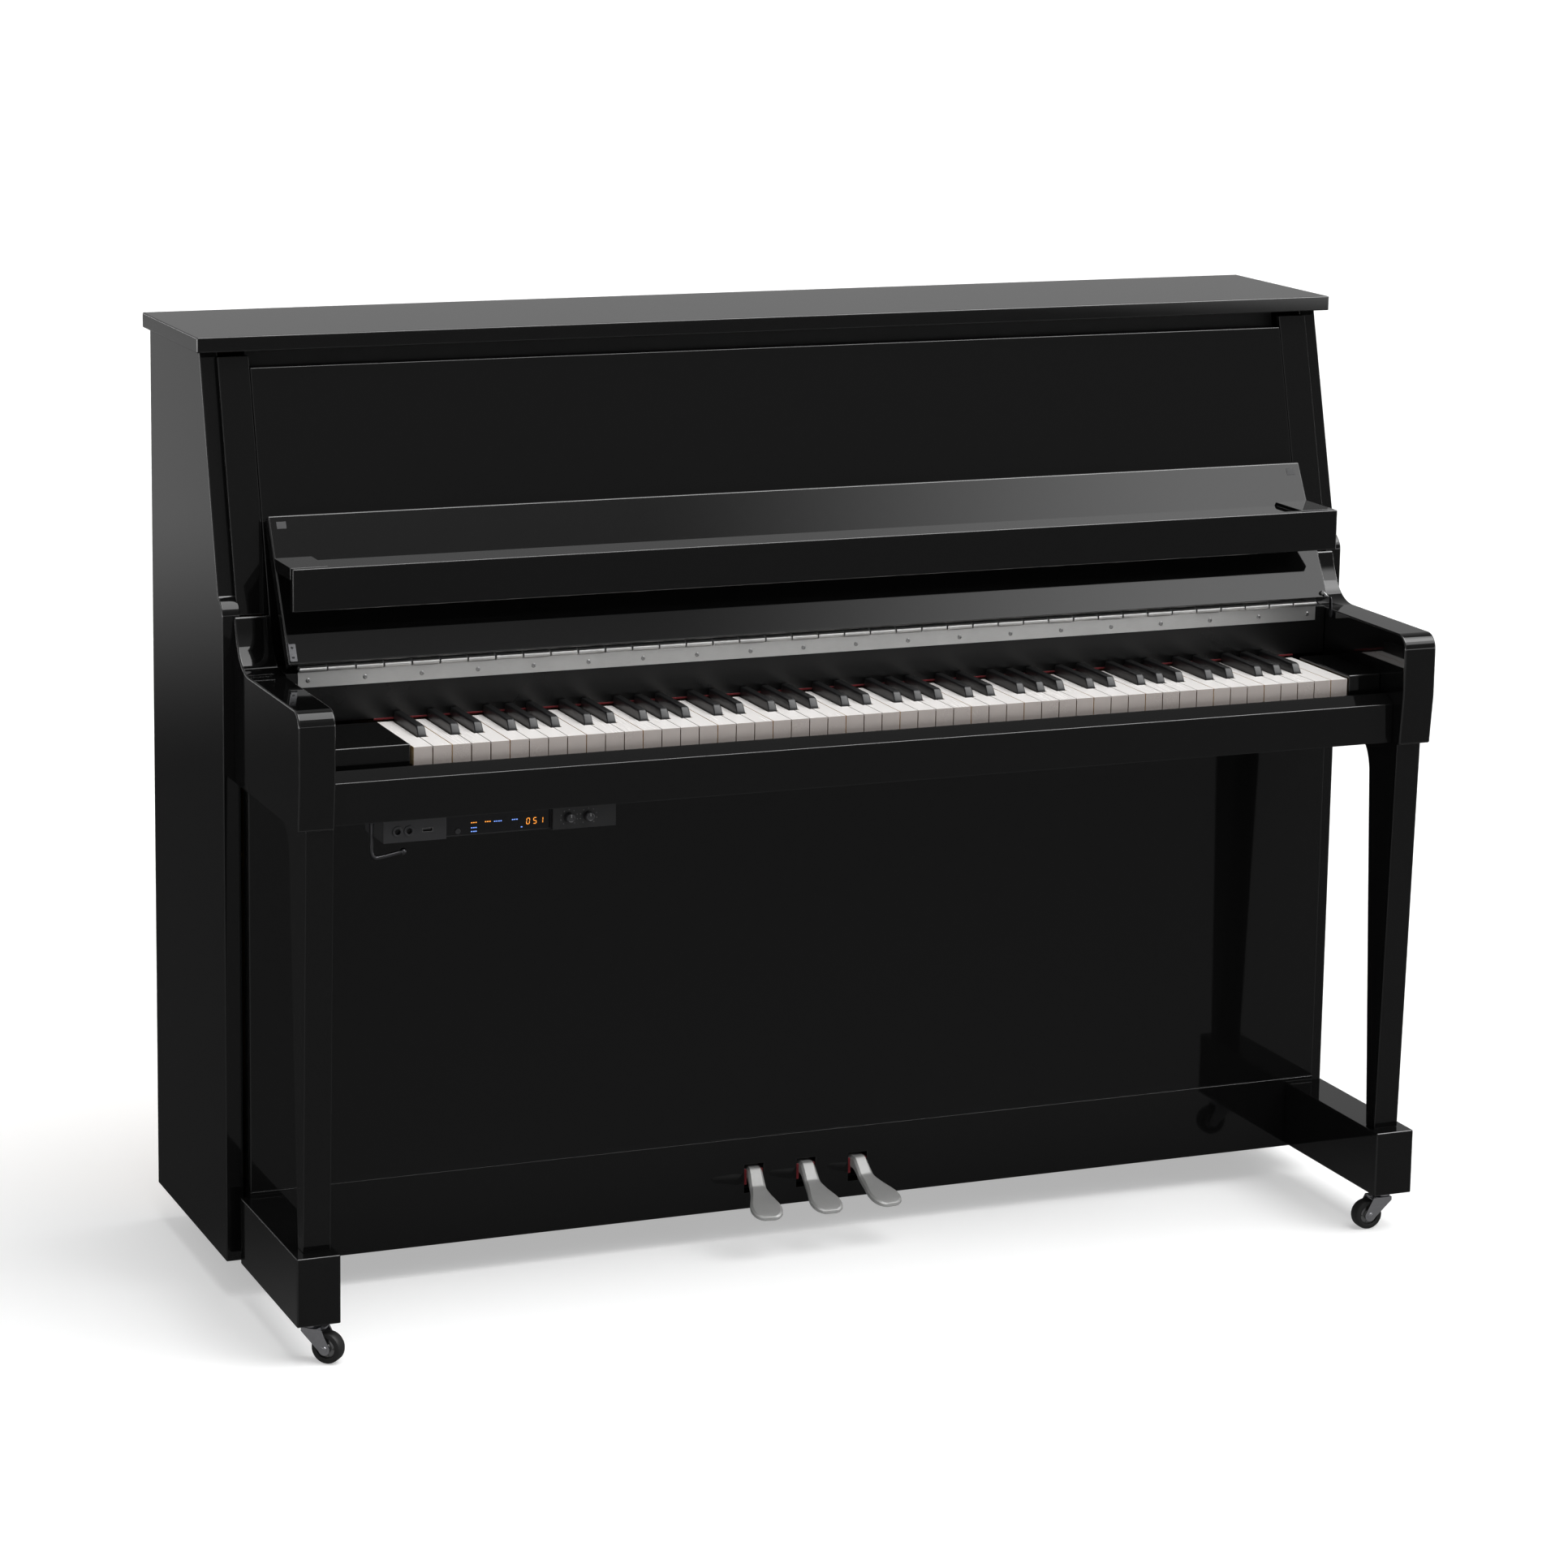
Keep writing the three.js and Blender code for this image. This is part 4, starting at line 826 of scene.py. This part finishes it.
def pedal(x, splay):
    """A cast pedal: along its curved centre line each ring is an oblong with a broad bevel round its top
    face, on a lever that turns about the pin."""
    y, top, bottom, wide = smooth(PEDAL_LINE, 96).T
    rim = np.minimum(3.4, 0.3 * wide)
    low_rim = np.minimum(3.2, 0.3 * wide)
    side = np.stack([wide - low_rim, wide - 0.35 * low_rim, wide, wide, wide - 0.3, wide - rim], -1)
    deep = top - bottom
    level = np.stack([bottom, bottom + 0.06 * deep, bottom + 0.22 * deep, top - 0.3 * deep,
                      top - 0.22 * deep, top], -1)
    ring_x = np.concatenate([side, -side[:, ::-1]], 1)
    ring_z = np.concatenate([level, level[:, ::-1]], 1)
    blade = skin(np.stack([ring_x, np.broadcast_to(y[:, None], ring_x.shape), ring_z], -1))
    blade = turned(blade, splay, (0, PEDAL_FRONT), (x, 0, 0))
    lever = slab((x - 6, PEDAL_FRONT + 4, PEDAL_PIN[1] - 4), (x + 6, PEDAL_PIN[0] - 6, PEDAL_PIN[1] + 9))
    boss = lathe([(x - 6, 4.4), (x - 6, 8.6), (x - 5.4, 9), (x + 5.4, 9), (x + 6, 8.6), (x + 6, 4.4)],
                 (0, *PEDAL_PIN), X, 28, True)
    return join(blade, lever, boss)


for hand, x, splay in PEDALS:
    put(f"pedal_{hand}_cast", f"pedal_{hand}_body", pedal(x, splay), [pedal_metal], "pedal_metal",
        ["pedal_" + hand], crease=20)
bushing = join(*[slab((sign * 10.8 - 1.9, PEDAL_FRONT + 1.6, 76), (sign * 10.8 + 1.9, rail_high[Y] - 1, 96))
                 for sign in (-1, 1)])
put("pedal_bushings", "case", scatter(bushing, [(x, 0, 0) for _, x, _ in PEDALS]), [red_felt], "red_felt",
    bevel=0.6)
eased("pedal_bracket", [steel], 0.5)


# ---- casters ----
WHEEL, TRAIL, HALF_WIDTH, AXLE = 19.0, 21.0, 8.5, 3.0


def mirrored_ends(profile):
    """A turned profile with the same end on both sides, from the half beyond 0."""
    return [(-along, radius) for along, radius in profile[::-1]] + profile


def caster_fork(top):
    """A swivel plate, its ball race and stem, two rounded cheeks under a crown, and a riveted axle."""
    crown = 2 * WHEEL + 1.2
    upper = [(top - drop, radius) for drop, radius in (
        (0, 0), (0, 16.6), (0.4, 17), (1.6, 17), (2.2, 16.2), (2.6, 12.4), (3.6, 11.6))]
    lower = [(crown + 3.6, 11.2), (crown + 2.6, 9), (crown + 0.5, 8.4), (crown + 0.4, 0)]
    plate = lathe(upper + lower, (0, 0, 0), Z, 36)
    outline = np.vstack([[(-9, crown + 2.7), (-9, crown - 2)], arc((TRAIL, WHEEL), 7.4, 205, 380, 18),
                         [(17, crown + 2.7)]])
    cheek = HALF_WIDTH + 1
    head = cheek + 2
    cheeks = [plank(Y, outline, *sorted((sign * cheek, sign * head))) for sign in (-1, 1)]
    bridge = slab((-8.8, -cheek - 1.9, crown + 0.1), (16.8, cheek + 1.9, crown + 2.6))
    rivet = [(head - 0.1, AXLE - 0.1), (head, 4.1), (head + 0.9, 3.8), (head + 1.5, 2.4), (head + 1.6, 0)]
    return join(plate, *cheeks, bridge, lathe(mirrored_ends(rivet), (TRAIL, 0, WHEEL), Y, 24))


def caster_wheel():
    """A rounded tyre turned about its axle, and a dished hub with five lightening bosses."""
    tread = [(2, 19), (5.6, 18.8), (7.6, 17.8), (8.5, 15.8), (8.5, 13), (7.9, 12)]
    tyre = lathe(mirrored_ends(tread), (TRAIL, 0, WHEEL), Y, 48, True)
    dish = [(5.4, 12.1), (6.4, 6.6), (8.3, 5.4), (8.3, AXLE + 0.35)]
    hub = lathe(mirrored_ends(dish), (TRAIL, 0, WHEEL), Y, 36, True, 1)
    boss = lathe(mirrored_ends([(5.6, 1.4), (6.8, 1.1), (6.8, 0)]), (0, 0, 0), Y, 10, tint=1)
    spots = arc((TRAIL, WHEEL), 9.2, 0, 288, 5)
    return join(tyre, hub, scatter(boss, np.insert(spots, Y, 0, 1)))


stem = 710.65
rear = 640.0
for name, x, y, heading in (("front_left", -stem, -259, -45), ("front_right", stem, -259, 180),
                            ("rear_left", -rear, 240, -90), ("rear_right", rear, 240, -90)):
    top = corners(f"caster_{name}_fork")[1][Z]
    put(f"caster_{name}_yoke", name + "_swivel", turned(caster_fork(top), heading, shift=(x, y, 0)), [chrome],
        "chrome", [f"caster_{name}_fork"], bevel=0.35, crease=38)
    put(f"caster_{name}_roller", name + "_roller", turned(caster_wheel(), heading, shift=(x, y, 0)),
        [rubber, steel], "wheel_rubber", [f"caster_{name}_wheel"], crease=32)


# ---- back, soundboard and plate ----
eased("back_frame", [beech_z], 2.0)
eased("pin_block", [beech_x], 0.8)
eased("soundboard", [spruce], 0.8)
eased("iron_plate", [iron], 2.4, 3)
board_low, board_high = corners("soundboard")
frame_low, frame_high = corners("back_frame")
POST = 62.0
posts = np.linspace(frame_low[X] + POST / 2, frame_high[X] - POST / 2, 5)
bay_low, bay_high = frame_low[Z] + 82, board_high[Z] - 12
RIB_SLOPE, RIB_PITCH, RIB_WIDTH = math.tan(math.radians(38)), 118, 30
ribs = []
for left, right in zip(posts[:-1] + POST / 2, posts[1:] - POST / 2):
    rise = (right - left) * RIB_SLOPE
    for foot_z in np.arange(bay_low + 22, bay_high - rise - 26, RIB_PITCH):
        run = [(left + 0.5, foot_z), (right - 0.5, foot_z + rise), (right - 0.5, foot_z + rise + RIB_WIDTH),
               (left + 0.5, foot_z + RIB_WIDTH)]
        ribs.append(plank(Y, run, board_high[Y] - 0.2, board_high[Y] + 17))
put("soundboard_ribs", "case", join(*ribs), [spruce_rib], "spruce", bevel=3.0, segments=3)

plate_low, plate_high = corners("iron_plate")
plate_face = plate_low[Y]
webs = [slab((x0, plate_face - proud, z0), (x1, plate_face + 0.5, z1)) for x0, x1, z0, z1, proud in (
    (-263.5, -251.5, 150, 1000, 11), (206.5, 218.5, 200, 1000, 11),
    (plate_low[X] + 12, plate_high[X] - 12, 948, 958, 7))]
bolts = [(x, plate_face, z) for x in np.linspace(plate_low[X] + 22, plate_high[X] - 22, 9)
         for z in (plate_high[Z] - 14, plate_low[Z] + 22)]
bolt = lathe([(0.3, 0), (0.3, 10), (-1.2, 10), (-1.4, 7.6), (-5.6, 7.4), (-6.4, 6.4), (-6.4, 0)],
             (0, 0, 0), Y, 6)
put("plate_ribs_and_bolts", "case", join(*webs, scatter(bolt, bolts)), [iron], "bronzed_iron", bevel=0.9,
    segments=3)

# Strings stand in the windows of the plate: single and double wound ones for the bass, then three to a note.
# A window holds the notes from one number up to another, between two values of x.
BASS_NOTES, SINGLE_NOTES, DAMPED_NOTES = 20, 9, 66
WINDOWS = ((0, BASS_NOTES, -652, -446), (BASS_NOTES, 38, -430, -292), (38, 64, -226, 182),
           (64, KEYS, 246, 652))
string_x = np.concatenate([np.linspace(x0, x1, b - a) for a, b, x0, x1 in WINDOWS])
note_number = np.arange(KEYS)
TREBLE = np.array([(-400, 300), (-180, 305), (60, 360), (300, 480), (500, 640), (640, 810)], float)
BASS = np.array([(-660, 350), (-560, 260), (-440, 200)], float)
bridge_z = np.where(note_number < BASS_NOTES, np.interp(string_x, BASS[:, 0], BASS[:, 1]),
                    np.interp(string_x, TREBLE[:, 0], TREBLE[:, 1]))
PER_NOTE = np.where(note_number < SINGLE_NOTES, 1, np.where(note_number < BASS_NOTES, 2, 3))
SPREAD = {1: (0.0,), 2: (-2.2, 2.2), 3: (-2.3, 0.0, 2.3)}
NUT_Z, STRING_Y, BRIDGE_Y = 962.0, plate_face - 8.5, board_low[Y] - 1.6
wound, plain, pins = [], [], []
for i in note_number:
    for k, dx in enumerate(SPREAD[int(PER_NOTE[i])]):
        pin_z = 1066 - 22 * k - 6 * (i % 3)
        x = string_x[i] + dx
        path = [(x + dx * 0.4, plate_face - 4, pin_z), (x, STRING_Y, NUT_Z), (x, BRIDGE_Y, bridge_z[i]),
                (x, BRIDGE_Y + 2, bridge_z[i] - 60)]
        low_note = i < BASS_NOTES
        thick = 1.5 - 0.04 * i if low_note else 0.55
        (wound if low_note else plain).append(tube(path, thick, 6))
        pins.append((x + dx * 0.4, plate_face, pin_z))
put("strings_plain", "case", join(*plain), [wire], "string_steel", crease=70)
put("strings_wound", "case", join(*wound), [copper], "string_copper", crease=70)
pin = lathe([(0.5, 0), (0.5, 3.2), (-2.2, 3.2), (-2.8, 4.3), (-6.2, 4.3), (-6.8, 3.2), (-20, 3.0), (-20, 0)],
            (0, 0, 0), Y, 8)
put("tuning_pins", "case", scatter(pin, pins), [wire], "string_steel", crease=45)
put("pressure_bar", "case", slab(
    (plate_low[X] + 30, STRING_Y - 8, NUT_Z - 6), (plate_high[X] - 30, STRING_Y - 1.2, NUT_Z + 8)),
    [nickel], "steel", bevel=3.2, segments=4)

# ---- action ----
eased("action_frame", [beech_x], 0.8)
REST_Y, HEAD_Z = 88.0, 872.0
head_outline = np.vstack([
    [(92, HEAD_Z - 6), (104, HEAD_Z - 11)],
    bend((104, HEAD_Z - 11), (128, HEAD_Z - 9), (131, HEAD_Z), 5),
    bend((131, HEAD_Z), (128, HEAD_Z + 9), (104, HEAD_Z + 11), 5), [(92, HEAD_Z + 6)]])
hammer = join(plank(X, head_outline, -4.6, 4.6, 0),
              slab((-3.4, 88.5, HEAD_Z - 5), (3.4, 112, HEAD_Z + 5), 1),
              slab((-2.6, 91, 779), (2.6, 96, HEAD_Z - 4), 1),
              slab((-4.4, 86, 777), (4.4, 108, 795), 1))
hammer_x = keyboard_left + 15 + (string_x - string_x[0]) * (
    keyboard_right - keyboard_left - 30) / np.ptp(string_x)
put("hammers", "case", scatter(hammer, [(x, 0, 0) for x in hammer_x]), [hammer_felt, beech_x], "hammer_felt",
    crease=40)
damper = join(slab((-4.2, STRING_Y - 9, 812), (4.2, STRING_Y - 2, 850), 0),
              slab((-3.6, STRING_Y - 13, 816), (3.6, STRING_Y - 9, 846), 1),
              slab((-0.7, STRING_Y - 14.5, 758), (0.7, STRING_Y - 13, 832), 2))
put("dampers", "case", scatter(damper, [(x, 0, 0) for x in string_x[:DAMPED_NOTES]]),
    [hammer_felt, black_wood, wire], "hammer_felt", crease=40)
wippen_outline = [(66, 724), (118, 724), (122, 732), (112, 742), (84, 740), (78, 760), (70, 760), (66, 740)]
put("wippens", "case", scatter(plank(X, wippen_outline, -4, 4), [(x, 0, 0) for x in middles]), [beech_x],
    "beech")
put("hammer_rest_felt", "case", slab((keyboard_left, REST_Y, 864), (keyboard_right, REST_Y + 2.6, 878)),
    [green_felt], "red_felt", bevel=0.7)

# ---- stage ----
floor_mesh = bpy.data.meshes.new("floor")
near, far = -90.0, 90.0
floor_mesh.from_pydata([(near, near, 0), (far, near, 0), (far, far, 0), (near, far, 0)], [], [(0, 1, 2, 3)])
floor_paint = Paint("floor_white", tone(214, 214, 214), 0.7, Specular_IOR_Level=0.0,
                    Emission_Color=(1, 1, 1, 1), Emission_Strength=0.42)
floor_mesh.materials.append(floor_paint.made)
floor = bpy.data.objects.new("floor", floor_mesh)
bpy.context.scene.collection.objects.link(floor)

world = bpy.data.worlds.new("studio")
bpy.context.scene.world = world
world.use_nodes = True
sky = world.node_tree
sky.nodes["Background"].inputs["Color"].default_value = (1, 1, 1, 1)
towards = node(sky, "TexCoord", out="Generated")
side, depth, height = (node(sky, "SeparateXYZ", {}, {"Vector": towards}, axis) for axis in (X, Y, Z))


def rising(field, start, end):
    """0 below start, 1 above end, and smooth between them."""
    return node(field.socket.node.id_data, "MapRange", {"interpolation_type": "SMOOTHSTEP"}, {
        "Value": field, "From Min": start, "From Max": end})


# A dim room, a little brighter behind the piano and overhead, with one wide softbox high on the treble side.
# The camera itself sees a white room.
ROOM, ROOM_BEHIND, ROOM_OVERHEAD, SOFTBOX = 0.22, 0.11, 0.2, 3.4
front = rising(0 - depth, 0.0, 0.3)
softbox = rising(side, 0.35, 0.48) * rising(height, 0.42, 0.56) * front
glow = (ROOM + ROOM_BEHIND * rising(depth, 0.1, 0.6) + ROOM_OVERHEAD * front * rising(height, 0.4, 0.7)
        + SOFTBOX * softbox)
seen = node(sky, "LightPath", out="Is Camera Ray")
sky.links.new((glow * (1 - seen) + seen).socket, sky.nodes["Background"].inputs["Strength"])

# The white floor lights the piano as it is, but its mirror image in the lacquer is a dim studio floor: darker
# from the front of the case back, lighter again far behind it, and bright far to each side. Metres.
DIM, DARKENING, FAR_BEHIND, FAR_ASIDE = 0.19, 0.15, 0.34, 3.0
back, aside = floor_paint.along(Y), floor_paint.along(X)
mirrored = (DIM - DARKENING * rising(back, -0.5, 0.3) + FAR_BEHIND * rising(back, 2.7, 5.6)
            + FAR_ASIDE * rising(aside * aside, 20, 44))
glossy = floor_paint.node("LightPath", out="Is Glossy Ray")
surface = floor_paint.node("MixShader", {}, {0: glossy, 1: Field(floor_paint.shader.outputs[0]),
                                             2: floor_paint.node("Emission", {}, {"Strength": mirrored})})
floor_paint.tree.links.new(surface.socket, floor_paint.tree.nodes["Material Output"].inputs["Surface"])


def lamp(kind, name, place, target, watts, **shape):
    """A lamp that points from place to target."""
    light = bpy.data.lights.new(name, kind)
    light.energy = watts
    for setting, value in shape.items():
        setattr(light, setting, value)
    made = bpy.data.objects.new(name, light)
    made.location = place
    made.rotation_euler = (Vector(target) - Vector(place)).to_track_quat("-Z", "Y").to_euler()
    bpy.context.scene.collection.objects.link(made)


lamp("SUN", "ceiling_softbox", (1.4, -1.5, 6.0), (0, 0, 0.5), 2.4, angle=math.radians(50))


# ---- camera ----
yaw, pitch, roll = (math.radians(a) for a in (21.921, 10.385, 0.764))
ahead = Vector((math.sin(yaw) * math.cos(pitch), math.cos(yaw) * math.cos(pitch), -math.sin(pitch)))
level = Vector((math.cos(yaw), -math.sin(yaw), 0))
above = level.cross(ahead)
right = level * math.cos(roll) + above * math.sin(roll)
up = above * math.cos(roll) - level * math.sin(roll)
lens = bpy.data.cameras.new("camera")
lens.lens, lens.sensor_width = 101.62, 36
lens.shift_x, lens.shift_y = 0.0445, -0.1377
lens.clip_end = 400
camera = bpy.data.objects.new("camera", lens)
bpy.context.scene.collection.objects.link(camera)
camera.matrix_world = Matrix((right, up, -ahead)).transposed().to_4x4()
camera.location = (-2.1159, -4.9698, 1.8387)
bpy.context.scene.camera = camera
bpy.context.scene.view_settings.view_transform = "Standard"
